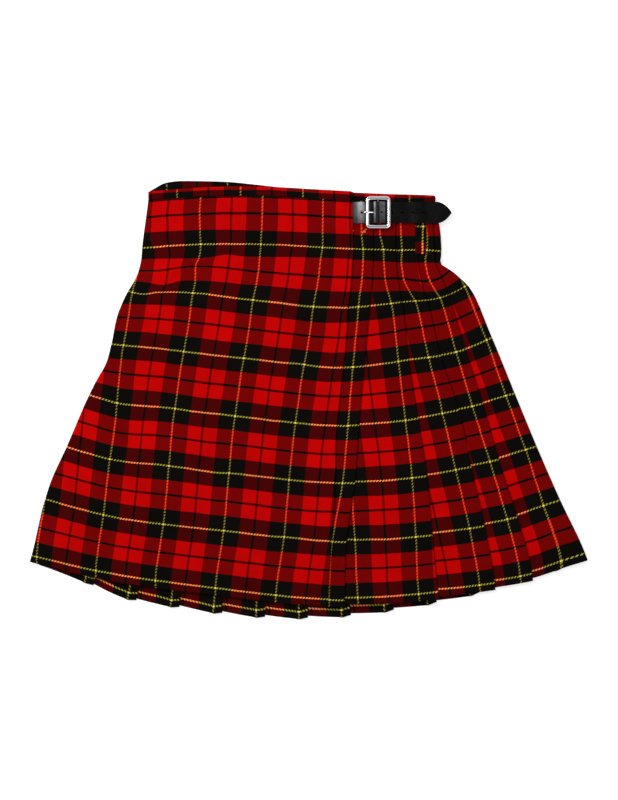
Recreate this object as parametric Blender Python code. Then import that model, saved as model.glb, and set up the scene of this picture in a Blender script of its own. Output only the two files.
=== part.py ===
"""A lady's tartan kilt fastened and laid flat on its back.

One wrapped, flattened tube of wool cloth: the over apron on top, the under apron beneath it,
and a run of knife pleats that goes from under the over apron round the right side and across
the back. A waistband, a belt loop and a leather strap with a centre-bar buckle finish it.
Lengths are in millimetres. +X runs to the right of the apron, +Y up to the waist, +Z off the floor.
"""
import math
from collections import namedtuple

import bmesh
import bpy
import numpy as np

MM = 0.001

# Cloth
CLOTH = 1.0            # wall of the wool cloth
LAYER = 1.5            # from one layer of a pleat to the next, middle to middle
CLEAR = 0.3            # clearance between neighbouring pieces
SETT = 72.8            # repeat of the tartan, which sets how deep a pleat is folded
DROP = 482.0           # cloth from the waistband's seam to the hem

# Heights of the middles of the layers over the floor
FLOOR_MID = CLOTH / 2
UNDER_MID = 4.8
FACE_WAIST = 7.8       # pleats on the front, stitched down above the fell
FACE_BELOW = 9.1       # and loose below it
TILT = 1.3             # how far a loose pleat's face dips from its fold to its root
OVER_WAIST = 7.1       # over apron at the left, at the waist and below
OVER_BELOW = 6.1

# Pleats
PLEAT_COUNT = 18
DEEPEST = 0.75         # greatest depth of a fold, as a share of its pleat's width
SHALLOWEST = 3.0
RAMP = 4.4             # width in which a face comes out from under the fold before it
FIRST_DEPTH_WAIST = 60.0
FIRST_DEPTH_HEM = 19.0
FIRST_LEAD = 24.0      # cloth from the under apron's seam to the first pleat's root
FIFTH_WAIST, FIFTH_HEM = 50.0, 37.0      # fold 5, from the right side
LAST_WAIST, LAST_HEM = 9.0, 14.6         # last fold, from the left side
HIDDEN_HEM = 3.0       # by which the under apron's hem stays above the over apron's
HEM_STEP = (1.5, 2.4)  # each pleat's hem runs this much high at one end and low at the other,
                       # on the front and on the back

# The back's rows bow away from the straight line between the sides
BACK_SHARES = (0, 0.045, 0.1, 0.13, 0.17, 0.25, 0.5, 0.75, 1)     # places across the back, and the bow there
BACK_BOW_WAIST = (0, 9.3, 13.3, 13.6, 13.5, 12.9, 5.6, 2.4, 0)
BACK_BOW_HEM = (0, -10.4, -24.0, -33.5, -43.0, -53.0, -68.0, -47.0, 0)

# Waistband
BAND_LOW = 0.5         # its lower edge over the cloth's, where the rows run steeply
BAND_HEIGHT = 8.4
BAND_SINGLE = 2.0      # thickness over one layer of cloth
BAND_PLEATS = 4.0      # and over pleats
BAND_ROUND = 0.35

# Belt loop
LOOP_X, LOOP_WIDTH = 134.0, 13.0
LOOP_TOP, LOOP_BOTTOM = 229.5, 174.5
LOOP_THICK = 1.6
LOOP_BOW = 0.25

# Strap, with the middle of its thickness at distances along it from the buckle's centre bar
STRAP_Y, STRAP_WIDTH, STRAP_THICK = 224.0, 25.4, 2.0
STRAP_ROOT, STRAP_SHOULDER, STRAP_TIP = -49.2, 71.4, 88.2
Bend = namedtuple("Bend", "along height")
STRAP_BENDS = (
    Bend(-50.0, 9.6), Bend(-20.0, 9.6), Bend(-13.2, 9.6), Bend(-11.4, 9.9), Bend(-9.8, 10.8),
    Bend(-6.5, 13.2), Bend(-3.3, 15.3), Bend(0.0, 15.75), Bend(3.3, 15.3), Bend(6.5, 13.2),
    Bend(9.6, 11.0), Bend(12.0, 10.9), Bend(24.0, 10.9), Bend(29.0, 10.3), Bend(38.0, 10.5),
    Bend(43.0, 11.5), Bend(58.5, 11.5), Bend(66.0, 10.4), Bend(76.0, 9.5), Bend(90.0, 8.6),
)
HOLE_RADIUS = 1.6
HOLES = (-19.5, -6.8, 4.2, 16.5, 29.0, 41.4, 54.0)   # centres of the holes along the strap
USED_HOLE = 1                                        # the prong has pulled this one long
USED_HOLE_LENGTH = 6.6

# Buckle
BAR_X, BAR_Z, BAR_RADIUS = 82.8, 11.9, 1.15
FRAME_LENGTH, FRAME_WIDTH = 29.9, 38.5   # along the strap and across it
FRAME_BAR, FRAME_THICK = 4.3, 2.6
FRAME_Z = 13.5
FRAME_CORNER = 4.2
TAB_WIDTH, TAB_LENGTH, TAB_THICK = 21.0, 24.0, 1.0
TAB_FLOOR = 8.6
TAB_SLOT = 5.0
PRONG_WIDTH, PRONG_THICK = 2.4, 1.8
PRONG_COLLAR = 3.8
PRONG_PATH = (Bend(-1.8, 12.2), Bend(-7.0, 13.9), Bend(-12.0, 15.9), Bend(-15.0, 16.3), Bend(-18.0, 16.0))

# Sections of the kilt, one for each row of cloth: drop is measured down the cloth from the seam.
# Over apron and left side: left fold, hip line, middle and free edge.
ApronRow = namedtuple("ApronRow", "drop left_x left_y hip_x hip_y mid_x mid_y edge_x edge_y")
APRON_ROWS = (
    ApronRow(0, -193.2, 240, -130, 244.3, -56, 245, 52, 239),
    ApronRow(21, -196.1, 218, -130, 222.2, -56, 222.6, 52, 217),
    ApronRow(38, -198.6, 200, -130, 203, -57, 202.2, 52.5, 197.6),
    ApronRow(56, -200.8, 181.3, -131, 185.4, -58, 185.6, 53, 179.8),
    ApronRow(74, -201.9, 167.6, -131, 168.6, -59, 170, 51.9, 167),
    ApronRow(91, -205.3, 153.5, -132, 159.2, -60, 152.5, 50.6, 144.8),
    ApronRow(108, -210.6, 141.5, -134, 141.8, -62, 136.5, 49, 128.5),
    ApronRow(126, -217.8, 130, -139, 127, -66, 118, 46.4, 109),
    ApronRow(154, -229.4, 104, -170, 101.2, -70, 90.3, 45, 80.2),
    ApronRow(195, -237.8, 66, -221, 64, -78, 49, 41, 38),
    ApronRow(218, -243.6, 44.5, -223.5, 41.8, -81.6, 27, 38, 15.2),
    ApronRow(246, -256.3, 21.5, -227, 13.7, -85.7, -1, 35, -13),
    ApronRow(265, -264.6, 5, -230, -6, -88, -20, 33, -32),
    ApronRow(335, -292, -58, -239, -73, -97, -89, 31, -101),
    ApronRow(380, -310.4, -98.5, -244.3, -115.5, -100.7, -133.5, 28.6, -146),
    ApronRow(404, -317.5, -120, -247, -139, -103, -158, 27, -170),
    ApronRow(474, -333.8, -188, -257, -206, -112, -227, 23, -240),
    ApronRow(482, -335.8, -195, -259, -214, -113, -235, 23, -248),
)
# Pleats on the right: folds 0 to 3 on the front, the right side, and how far fold 4 lies
# past the start of the side's turn, on the back.
PleatRow = namedtuple("PleatRow", "drop fold0_x fold1_x fold1_y fold2_x fold3_x fold3_y side_x side_y fold4")
PLEAT_ROWS = (
    PleatRow(0, 77, 103, 237.5, 128, 145, 236.3, 152, 236, 30),
    PleatRow(38, 77, 104, 196, 130, 150, 195.8, 158.5, 196, 31),
    PleatRow(56, 77, 104.5, 178.4, 130.5, 151, 178, 159.3, 177.2, 31),
    PleatRow(76, 77, 105, 161.5, 131, 152.5, 161, 159.5, 161.5, 32),
    PleatRow(84, 76.5, 106, 152.5, 133, 156, 153.5, 165, 158.5, 31.5),
    PleatRow(92, 76, 107, 143, 135, 160, 145, 172, 154, 31),
    PleatRow(108, 74.5, 109, 130, 138, 164, 134, 182, 145.5, 30.5),
    PleatRow(126, 73, 112, 116, 142, 168, 125, 191, 137, 30),
    PleatRow(195, 66, 120, 47, 158, 188, 60, 220, 74, 28),
    PleatRow(265, 60, 131, -23, 180, 209, -5, 247.5, 7, 26),
    PleatRow(335, 55, 142, -92, 195, 228, -72, 274, -57, 24),
    PleatRow(404, 45, 148, -162, 211, 250, -140, 302, -121, 22),
    PleatRow(474, 43, 155, -230, 223, 268, -208, 332, -185, 20),
    PleatRow(482, 43, 156, -238, 224, 269, -216, 335, -193, 20),
)
# Where the cloth on the front has slipped down or up, and how far it reaches across and down
Slip = namedtuple("Slip", "x drop across down shift")
SLIPS = (
    Slip(-176, 108, 16, 12, -5.0),
    Slip(-176, 91, 18, 8, -1.8),
    Slip(-200, 126, 14, 10, -4.5),
    Slip(-98, 74, 16, 9, 3.5),
)
# Rows that the solids are made through
ROWS = (0, 30, 56, 76, 91, 108, 126, 160, 195, 230, 265, 335, 404, 443, 482)

RED = (0.46, 0.010, 0.012)
DARK_RED = (0.13, 0.006, 0.008)
BLACK_LEATHER = (0.012, 0.011, 0.011)
CHROME = (0.62, 0.62, 0.64)


def smooth(knots, values, at):
    """A curve through values at rising knots, held at its end values beyond them."""
    at = min(max(at, knots[0]), knots[-1])
    spans = [b - a for a, b in zip(knots, knots[1:])]
    chords = [(b - a) / s for a, b, s in zip(values, values[1:], spans)]
    i = max(k for k in range(len(spans)) if knots[k] <= at)
    tangents = []
    for k in (i, i + 1):
        before, after = max(k - 1, 0), min(k, len(spans) - 1)
        weight = spans[before] + spans[after]
        tangents.append((chords[before] * spans[after] + chords[after] * spans[before]) / weight)
    t = (at - knots[i]) / spans[i]
    rise = 3 * t**2 - 2 * t**3
    bend = tangents[0] * (t**3 - 2 * t**2 + t) + tangents[1] * (t**3 - t**2)
    return values[i] + (values[i + 1] - values[i]) * rise + spans[i] * bend


def step(t):
    """0 below 0, 1 above 1, and an easy S between."""
    t = min(max(t, 0.0), 1.0)
    return t * t * (3 - 2 * t)


def mix(a, b, t):
    return a + (b - a) * t


def row_at(table, drop):
    """The table's row at any drop, each column read from a smooth curve."""
    drops = [row.drop for row in table]
    return type(table[0])(*(smooth(drops, column, drop) for column in zip(*table)))


class Row:
    """One row of cloth all round the kilt: where its sides, folds and layers lie."""

    def __init__(self, drop):
        self.drop = drop
        self.apron = row_at(APRON_ROWS, drop)
        self.pleat = row_at(PLEAT_ROWS, drop)
        down = drop / DROP
        loose = step((drop - 60) / 40)
        self.face = mix(FACE_WAIST, FACE_BELOW, loose)
        self.tilt = TILT * loose
        self.over = mix(OVER_WAIST, OVER_BELOW, step(drop / 60))
        self.radius = (self.face - FLOOR_MID) / 2
        self.turn = math.pi * self.radius
        self.centre = self.pleat.side_x - self.radius - CLOTH / 2
        self.last_x = self.apron.left_x + mix(LAST_WAIST, LAST_HEM, down)
        self.place_folds(down)

    def place_folds(self, down):
        """Fold edges as distances along the row, from the start of the right side's turn."""
        p = self.pleat
        fifth_x = p.side_x - mix(FIFTH_WAIST, FIFTH_HEM, down)
        pitch = (fifth_x - self.last_x) / (PLEAT_COUNT - 6)
        self.folds = [x - self.centre for x in (p.fold0_x, p.fold1_x, p.fold2_x, p.fold3_x)] + [p.fold4]
        self.folds += [self.turn + self.centre - fifth_x + pitch * k for k in range(PLEAT_COUNT - 5)]
        first = mix(FIRST_DEPTH_WAIST, FIRST_DEPTH_HEM, down)
        self.widths = [first / DEEPEST] + [b - a for a, b in zip(self.folds, self.folds[1:])]
        following = self.widths[1:] + [pitch]
        self.depths = [first]
        for width, after in zip(self.widths[1:], following[1:]):
            self.depths.append(max(SHALLOWEST, min(DEEPEST * width, (SETT - after) / 2)))
        self.depths[4] = min(self.depths[4], p.fold4 - self.turn - 2)

    def point(self, along, inward):
        """The place at a distance along the row and an inward distance from its outer layer."""
        if along <= 0:
            return self.centre + along, self.face - inward
        if along >= self.turn:
            return self.centre - (along - self.turn), FLOOR_MID + inward
        angle = along / self.radius
        reach = self.radius - inward
        return self.centre + reach * math.sin(angle), FLOOR_MID + self.radius + reach * math.cos(angle)

    def front_y(self, x):
        a, p = self.apron, self.pleat
        knots = [a.left_x, a.hip_x, a.mid_x, a.edge_x, p.fold1_x, p.fold3_x, p.side_x]
        y = smooth(knots, [a.left_y, a.hip_y, a.mid_y, a.edge_y, p.fold1_y, p.fold3_y, p.side_y], x)
        for slip in SLIPS:
            reach = ((x - slip.x) / slip.across) ** 2 + ((self.drop - slip.drop) / slip.down) ** 2
            y += slip.shift * math.exp(-reach)
        return y

    def back_y(self, x):
        left, right = self.apron.left_x, self.pleat.side_x
        ends = (self.apron.left_y, self.pleat.side_y)
        down = mix(0.12 * step(self.drop / 90), 1, self.drop / DROP)
        bow = [mix(a, b, down) for a, b in zip(BACK_BOW_WAIST, BACK_BOW_HEM)]
        knots = [mix(left, right, t) for t in BACK_SHARES]
        values = [mix(*ends, t) + b for t, b in zip(BACK_SHARES, bow)]
        return smooth(knots, values, x)

    def row_y(self, along, x):
        return self.front_y(x) if along < self.turn / 2 else self.back_y(x)

    def dip(self, i, along):
        """How far pleat i's face lies below its fold edge, which fades out round the side."""
        slope = (self.folds[i] - along) / (DEEPEST * self.widths[i])
        return self.tilt * min(max(slope, 0.0), 1 / DEEPEST) * step(-along / 14)

    def root_x(self):
        """Where the first pleat's fold turns back under it."""
        return self.pleat.fold0_x - self.depths[0]

    def over_z(self, x):
        """The over apron's height: over the under apron, then the first pleat, then the strap."""
        fall = self.tilt * min((self.pleat.fold0_x - x) / self.depths[0], 1.0)
        on_pleat = self.face - fall + CLOTH + CLEAR
        z = mix(self.over, on_pleat, step((x - self.root_x() + 20) / 14))
        under_strap = step((x - self.apron.edge_x + 38) / 12) * (1 - step((self.drop - 31) / 15))
        return mix(z, STRAP_BENDS[0].height + STRAP_THICK / 2 + CLEAR + CLOTH / 2, under_strap)


def spread(row, start, end, count):
    """Distances along the row from start to end, closer together where it turns the side."""
    def weigh(along):
        return along + 7 * min(max(along, 0.0), row.turn)

    wanted = np.linspace(weigh(start), weigh(end), count)
    fine = np.linspace(start, end, 400)
    return np.interp(wanted, [weigh(a) for a in fine], fine) if end > start else (
        np.interp(-wanted, [-weigh(a) for a in fine], fine))


# Points on a pleat's run under the fold before it, its ramp, its face and its fold-back
PLAIN_COUNTS = (1, 1, 1, 1)
COUNTS = {0: (1, 1, 1, 3), 1: (3, 1, 4, 2), 2: (1, 1, 2, 1), 3: (1, 1, 3, 1), 4: (1, 2, 10, 1)}


def pleat_points(row):
    """The middle of the pleated wall at one row, from the under apron's seam to its last fold."""
    low = row.face - UNDER_MID
    root = row.folds[0] - row.depths[0]
    path = [(root - FIRST_LEAD, low), (root - 10, low), (root - 3, row.dip(0, root - 3))]
    path += [(a, row.dip(0, a)) for a in np.linspace(root + 6, row.folds[0] - 12, 2)]
    half = CLOTH / 2
    for i, (fold, depth) in enumerate(zip(row.folds, row.depths)):
        runs = COUNTS.get(i, PLAIN_COUNTS)
        if i:
            before = row.folds[i - 1]
            start = before - row.depths[i - 1] + half
            for a in spread(row, start, before - CLEAR, runs[0] + 1)[1:]:
                path.append((a, row.dip(i - 1, a) + 2 * LAYER))
            ramp_end = before + RAMP
            for a in spread(row, before - CLEAR, ramp_end, runs[1] + 1)[1:]:
                t = (a - before + CLEAR) / (RAMP + CLEAR)
                path.append((a, mix(2 * LAYER, row.dip(i, ramp_end), t)))
            for a in spread(row, ramp_end, fold - half, runs[2] + 1)[1:-1]:
                path.append((a, row.dip(i, a)))
        path.append((fold - half, row.dip(i, fold - half)))
        for a in spread(row, fold - half, fold - depth + half, runs[3] + 1):
            path.append((a, row.dip(i, a) + LAYER))
        if i < PLEAT_COUNT - 1:
            path.append((fold - depth + half, row.dip(i, fold - depth) + 2 * LAYER))
    points = []
    for along, inward in path:
        x, z = row.point(along, inward)
        lift = tuck_up(row) if along < root - 5 else hem_step(row, along)
        points.append((x, row.row_y(along, x) + lift, z))
    return points


def tuck_up(row):
    """The cloth hidden under the over apron ends a little above its hem."""
    return HIDDEN_HEM * row.drop / DROP


def hem_step(row, along):
    """Pleats hang a little askew, so a hem is high at one end of each pleat and low at the other."""
    edges = [row.folds[0] - row.widths[0]] + row.folds
    shares = np.interp(along, edges, np.arange(len(edges)))
    share = shares - math.floor(shares)
    sway = 1 - 2 * abs(2 * share - 1) if share < 0.5 else 1 - 2 * (2 * share - 1)
    front = along < row.turn / 2
    height = HEM_STEP[0] if front else -HEM_STEP[1]
    fade = step(PLEAT_COUNT - shares) * (1 - step(1 - abs(along - row.turn / 2) / 30))
    return height * sway * fade * step((row.drop - 126) / 356)


def over_points(row):
    """The over apron: free edge, front, left fold, and its tail under the last pleat."""
    a = row.apron
    radius = (row.over - FLOOR_MID) / 2
    centre = a.left_x + radius + CLOTH / 2
    rise = row.root_x() - 20
    xs = list(np.linspace(a.edge_x, rise, 9)) + list(np.linspace(rise, centre, 12))[1:]
    points = [(x, row.front_y(x), row.over_z(x)) for x in xs]
    for angle in np.radians((45, 90, 135)):
        x = centre - radius * math.sin(angle)
        y = row.front_y(x) if angle < 2 else row.back_y(x)
        points.append((x, y, FLOOR_MID + radius + radius * math.cos(angle)))
    tail = [(centre, FLOOR_MID), (max(row.last_x - RAMP, centre + 1.4), FLOOR_MID)]
    tail += [(row.last_x + CLEAR, FLOOR_MID + 2 * LAYER)]
    tail += [(row.last_x + row.depths[-1] - CLOTH / 2, FLOOR_MID + 2 * LAYER)]
    return points + [(x, row.back_y(x), z) for x, z in tail]


def under_points(row):
    """The under apron, flat between the over apron and the back."""
    right = row.root_x() - FIRST_LEAD - CLEAR
    left = row.apron.left_x + 15
    return [(x, row.front_y(x) + tuck_up(row), UNDER_MID) for x in np.linspace(right, left, 14)]


def normals(points):
    """Mitred normals of a line of points in the plane of the layers."""
    flat = np.array([(p[0], p[2]) for p in points])
    runs = np.diff(flat, axis=0)
    runs /= np.linalg.norm(runs, axis=1)[:, None]
    across = np.stack([-runs[:, 1], runs[:, 0]], axis=1)
    before = np.vstack([across[:1], across])
    after = np.vstack([across, across[-1:]])
    total = before + after
    return total / np.maximum(1 + (before * after).sum(axis=1), 0.7)[:, None]


def walled(points, half):
    """A closed ring of points: a line's points moved out by half, and back along the other side.
    What lies on the floor stays flat on it."""
    across = normals(points)
    halves = np.broadcast_to(half, len(points))
    one = [(p[0] + n[0] * h, p[1], max(p[2] + n[1] * h, 0.0)) for p, n, h in zip(points, across, halves)]
    two = [(p[0] - n[0] * h, p[1], max(p[2] - n[1] * h, 0.0)) for p, n, h in zip(points, across, halves)]
    return one + two[::-1]


def finish(bm, name, color, roughness, metallic=0.0):
    """The bmesh as an object in the kilt's collection, in metres, with its own material."""
    bmesh.ops.scale(bm, vec=(MM, MM, MM), verts=bm.verts)
    bmesh.ops.recalc_face_normals(bm, faces=bm.faces)
    mesh = bpy.data.meshes.new(name)
    bm.to_mesh(mesh)
    bm.free()
    piece = bpy.data.objects.new(name, mesh)
    material = bpy.data.materials.new(name)
    material.use_nodes = True
    shader = material.node_tree.nodes["Principled BSDF"]
    shader.inputs["Base Color"].default_value = (*color, 1)
    shader.inputs["Roughness"].default_value = roughness
    shader.inputs["Metallic"].default_value = metallic
    mesh.materials.append(material)
    kilt.objects.link(piece)
    return piece


def loft(rings, closed=False):
    """A bmesh through rings of equal count, capped at both ends unless the rings close up."""
    bm = bmesh.new()
    rows = [[bm.verts.new(p) for p in ring] for ring in rings]
    pairs = list(zip(rows, rows[1:]))
    if closed:
        pairs.append((rows[-1], rows[0]))
    for one, two in pairs:
        for k in range(len(one)):
            n = (k + 1) % len(one)
            bm.faces.new((one[k], one[n], two[n], two[k]))
    return bm, rows


def cloth_wall(name, points_at, color):
    """A wall of cloth through the rows, with plain cut edges."""
    rings = [walled(points_at(Row(drop)), CLOTH / 2) for drop in ROWS]
    bm, rows = loft(rings)
    for ring in (rows[0], rows[-1]):
        for k in range(len(ring) // 2 - 1):
            bm.faces.new((ring[k], ring[k + 1], ring[-2 - k], ring[-1 - k]))
    return finish(bm, name, color, 0.9)


def band_path(row):
    """The waistband's middle line with half its thickness: it starts at the over apron's free
    edge, goes round the left side, the back and the right side, and ends on the under apron."""
    a, p = row.apron, row.pleat
    single, thick = BAND_SINGLE / 2, BAND_PLEATS / 2
    path = []
    left_top = row.over - CLOTH / 2 + single
    radius = (left_top - single) / 2
    centre = a.left_x + radius + single
    for x in list(np.linspace(a.edge_x, row.root_x() - 20, 9)) + list(np.linspace(row.root_x() - 20, centre, 8))[1:]:
        path.append((x, row.front_y(x), row.over_z(x) - CLOTH / 2 + single, single))
    for angle in np.radians((36, 72, 108, 144)):
        x = centre - radius * math.sin(angle)
        y = row.front_y(x) if angle < 2 else row.back_y(x)
        path.append((x, y, single + radius + radius * math.cos(angle), single))
    for t in (0, 1 / 3, 2 / 3):
        half = mix(single, thick, t)
        path.append((centre + 12 * t, row.back_y(centre + 12 * t), half, half))
    radius = (UNDER_MID - CLOTH / 2) / 2
    right = p.side_x - radius - thick
    for x in np.linspace(centre + 12, right, 36):
        path.append((x, row.back_y(x), thick, thick))
    for angle in np.radians((36, 72, 108, 144)):
        x = right + radius * math.sin(angle)
        path.append((x, row.back_y(x), thick + radius - radius * math.cos(angle), thick))
    front = UNDER_MID - CLOTH / 2
    for x in np.linspace(right, row.root_x() - 4, 10):
        path.append((x, row.front_y(x), front + thick, thick))
    for x in np.linspace(row.root_x() - 16, a.left_x + 15, 8):
        path.append((x, row.front_y(x), front + single, single))
    return path


def build_waistband():
    row = Row(0)
    path = band_path(row)
    half = np.array([q[3] for q in path])
    across = normals(path)
    low, high, r = BAND_LOW, BAND_LOW + BAND_HEIGHT, BAND_ROUND
    rings = []
    for q, n, h in zip(path, across, half):
        corners = [(low, h - r), (low + r, h), (high - r, h), (high, h - r)]
        corners += [(y, -d) for y, d in corners[::-1]]
        rings.append([(q[0] + n[0] * d, q[1] + y, max(q[2] + n[1] * d, 0.0)) for y, d in corners])
    bm, rows = loft(rings)
    bm.faces.new(rows[0])
    bm.faces.new(rows[-1][::-1])
    return finish(bm, "waistband", DARK_RED, 0.9)


def build_belt_loop():
    """A folded strip of the cloth, sewn down at both ends, with the strap over its upper part."""
    half = LOOP_WIDTH / 2
    rings = []
    for t in np.linspace(0, 1, 9):
        y = mix(LOOP_TOP, LOOP_BOTTOM, t)
        bottom = TAB_FLOOR + LOOP_BOW * math.sin(math.pi * t)
        top = bottom + LOOP_THICK - LOOP_BOW
        outline = [(-half, bottom + 0.3), (-half + 0.3, bottom), (half - 0.3, bottom), (half, bottom + 0.3)]
        outline += [(half, top - 0.3), (half - 0.3, top), (-half + 0.3, top), (-half, top - 0.3)]
        rings.append([(LOOP_X + x, y, z) for x, z in outline])
    bm, rows = loft(rings)
    bm.faces.new(rows[0])
    bm.faces.new(rows[-1][::-1])
    return finish(bm, "belt_loop", DARK_RED, 0.9)


def evaluated(piece):
    """A bmesh of the object with its modifiers applied; the object itself is removed."""
    graph = bpy.context.evaluated_depsgraph_get()
    graph.update()
    mesh = bpy.data.meshes.new_from_object(piece.evaluated_get(graph))
    bm = bmesh.new()
    bm.from_mesh(mesh)
    bmesh.ops.transform(bm, matrix=piece.matrix_world, verts=bm.verts)
    bpy.data.meshes.remove(mesh)
    bpy.data.objects.remove(piece)
    return bm


def scratch(bm, name):
    """A working object for a Boolean, in millimetres."""
    bmesh.ops.recalc_face_normals(bm, faces=bm.faces)
    mesh = bpy.data.meshes.new(name)
    bm.to_mesh(mesh)
    bm.free()
    piece = bpy.data.objects.new(name, mesh)
    piece.hide_render = True
    piece.display_type = "WIRE"
    cutters.objects.link(piece)
    return piece


def combine(body, tool, operation):
    """The body cut by or joined with the tool, as a bmesh; both working objects are removed."""
    boolean = body.modifiers.new("combine", "BOOLEAN")
    boolean.operation = operation
    boolean.object = tool
    bm = evaluated(body)
    bpy.data.objects.remove(tool)
    return bm


def prism(outline, low, high, axis):
    """A bmesh of an outline pushed from low to high along an axis, Z or Y."""
    place = {"Z": lambda u, v, w: (u, v, w), "Y": lambda u, v, w: (u, w, v)}[axis]
    bm, rows = loft([[place(u, v, w) for u, v in outline] for w in (low, high)])
    bm.faces.new(rows[0])
    bm.faces.new(rows[-1][::-1])
    return bm


def slot_outline(centre, length, width, sides=6):
    """A round-ended slot along X, or a circle where length equals width."""
    r, shift = width / 2, (length - width) / 2
    ends = []
    for k in range(2 * sides):
        angle = math.pi * (k + 0.5) / sides - math.pi / 2
        side = 1 if k < sides else -1
        ends.append((centre + side * shift + r * math.cos(angle), STRAP_Y + r * math.sin(angle)))
    return ends


def build_strap():
    """The strap is punched flat, then bent over the buckle's bar and the belt loop."""
    half = STRAP_WIDTH / 2
    outline = [(STRAP_ROOT, half), (STRAP_ROOT, -half)]
    tip = [(t, half * (1 - t**1.8) ** 0.85) for t in (0, 0.2, 0.4, 0.6, 0.75, 0.88, 0.96)]
    tip = [(mix(STRAP_SHOULDER, STRAP_TIP, t), y) for t, y in tip]
    outline += [(x, -y) for x, y in tip] + [(STRAP_TIP, 0.0)] + tip[::-1]
    outline = [(BAR_X + x, STRAP_Y + y) for x, y in outline]
    thick = STRAP_THICK / 2
    body = scratch(prism(outline, -thick, thick, "Z"), "strap blank")
    punches = bmesh.new()
    for k, along in enumerate(HOLES):
        length = USED_HOLE_LENGTH if k == USED_HOLE else 2 * HOLE_RADIUS
        punch = prism(slot_outline(BAR_X + along, length, 2 * HOLE_RADIUS), -2 * thick, 2 * thick, "Z")
        mesh = bpy.data.meshes.new("punch")
        punch.to_mesh(mesh)
        punch.free()
        punches.from_mesh(mesh)
        bpy.data.meshes.remove(mesh)
    bm = combine(body, scratch(punches, "punches"), "DIFFERENCE")
    for bend in STRAP_BENDS[1:-1]:
        cut = (BAR_X + bend.along, 0, 0)
        everything = bm.verts[:] + bm.edges[:] + bm.faces[:]
        bmesh.ops.bisect_plane(bm, geom=everything, dist=0.001, plane_co=cut, plane_no=(1, 0, 0))
    bmesh.ops.triangulate(bm, faces=bm.faces)
    along = [bend.along for bend in STRAP_BENDS]
    heights = [bend.height for bend in STRAP_BENDS]
    for vert in bm.verts:
        vert.co.z += float(np.interp(vert.co.x - BAR_X, along, heights))
    return finish(bm, "strap", BLACK_LEATHER, 0.45)


def rounded_rectangle(length, width, corner, sides=5):
    """Points round a rectangle about the bar's middle, with its corners as arcs."""
    points = []
    for k, (sx, sy) in enumerate(((1, 1), (-1, 1), (-1, -1), (1, -1))):
        for angle in np.radians(np.linspace(90 * k, 90 * k + 90, sides)):
            x = sx * (length / 2 - corner) + corner * math.cos(angle)
            y = sy * (width / 2 - corner) + corner * math.sin(angle)
            points.append((x, y))
    return points


def build_buckle_frame():
    """A flat rounded frame with a round centre bar across the strap."""
    middle = rounded_rectangle(FRAME_LENGTH - FRAME_BAR, FRAME_WIDTH - FRAME_BAR, FRAME_CORNER - FRAME_BAR / 4)
    count = len(middle)
    rings = []
    for k, (x, y) in enumerate(middle):
        (x0, y0), (x1, y1) = middle[k - 1], middle[(k + 1) % count]
        run = math.hypot(x1 - x0, y1 - y0)
        nx, ny = (y1 - y0) / run, -(x1 - x0) / run
        ring = []
        for angle in np.radians(np.arange(22.5, 360, 45)):
            out = FRAME_BAR / 2 * math.cos(angle) / math.cos(math.pi / 8)
            up = FRAME_THICK / 2 * math.sin(angle) / math.cos(math.pi / 8)
            ring.append((BAR_X + x + nx * out, STRAP_Y + y + ny * out, FRAME_Z + up))
        rings.append(ring)
    frame, _ = loft(rings, closed=True)
    bar = bmesh.new()
    bmesh.ops.create_cone(bar, cap_ends=True, segments=12, radius1=BAR_RADIUS, radius2=BAR_RADIUS,
                          depth=FRAME_WIDTH - FRAME_BAR)
    for vert in bar.verts:
        x, y, z = vert.co
        vert.co = (BAR_X + x, STRAP_Y + z, BAR_Z + y)
    bm = combine(scratch(frame, "frame"), scratch(bar, "bar"), "UNION")
    return finish(bm, "buckle_frame", CHROME, 0.18, 1.0)


def bar_circle(radius, sides=12):
    angles = [2 * math.pi * (k + 0.5) / sides for k in range(sides)]
    return [(BAR_X + radius * math.cos(a), BAR_Z + radius * math.sin(a)) for a in angles]


def build_buckle_tab():
    """A leather tab looped round the centre bar and sewn down under the strap."""
    loop = BAR_RADIUS + CLEAR + TAB_THICK
    outline = [(BAR_X + TAB_LENGTH, TAB_FLOOR), (BAR_X + TAB_LENGTH, TAB_FLOOR + TAB_THICK)]
    outline.append((BAR_X + 9.0, TAB_FLOOR + TAB_THICK))
    for angle in np.radians(np.linspace(55, 250, 9)):
        outline.append((BAR_X + loop * math.cos(angle), BAR_Z + loop * math.sin(angle)))
    outline.append((BAR_X + 1.5, TAB_FLOOR))
    low, high = STRAP_Y - TAB_WIDTH / 2, STRAP_Y + TAB_WIDTH / 2
    body = scratch(prism(outline, low, high, "Y"), "tab")
    bore = scratch(prism(bar_circle(BAR_RADIUS + CLEAR), low - 1, high + 1, "Y"), "bore")
    body = scratch(combine(body, bore, "DIFFERENCE"), "bored tab")
    slot = [(BAR_X - 5, BAR_Z - 5), (BAR_X + 4, BAR_Z - 5), (BAR_X + 4, BAR_Z + 5), (BAR_X - 5, BAR_Z + 5)]
    cut = scratch(prism(slot, STRAP_Y - TAB_SLOT / 2, STRAP_Y + TAB_SLOT / 2, "Y"), "slot")
    return finish(combine(body, cut, "DIFFERENCE"), "buckle_tab", BLACK_LEATHER, 0.5)


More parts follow.
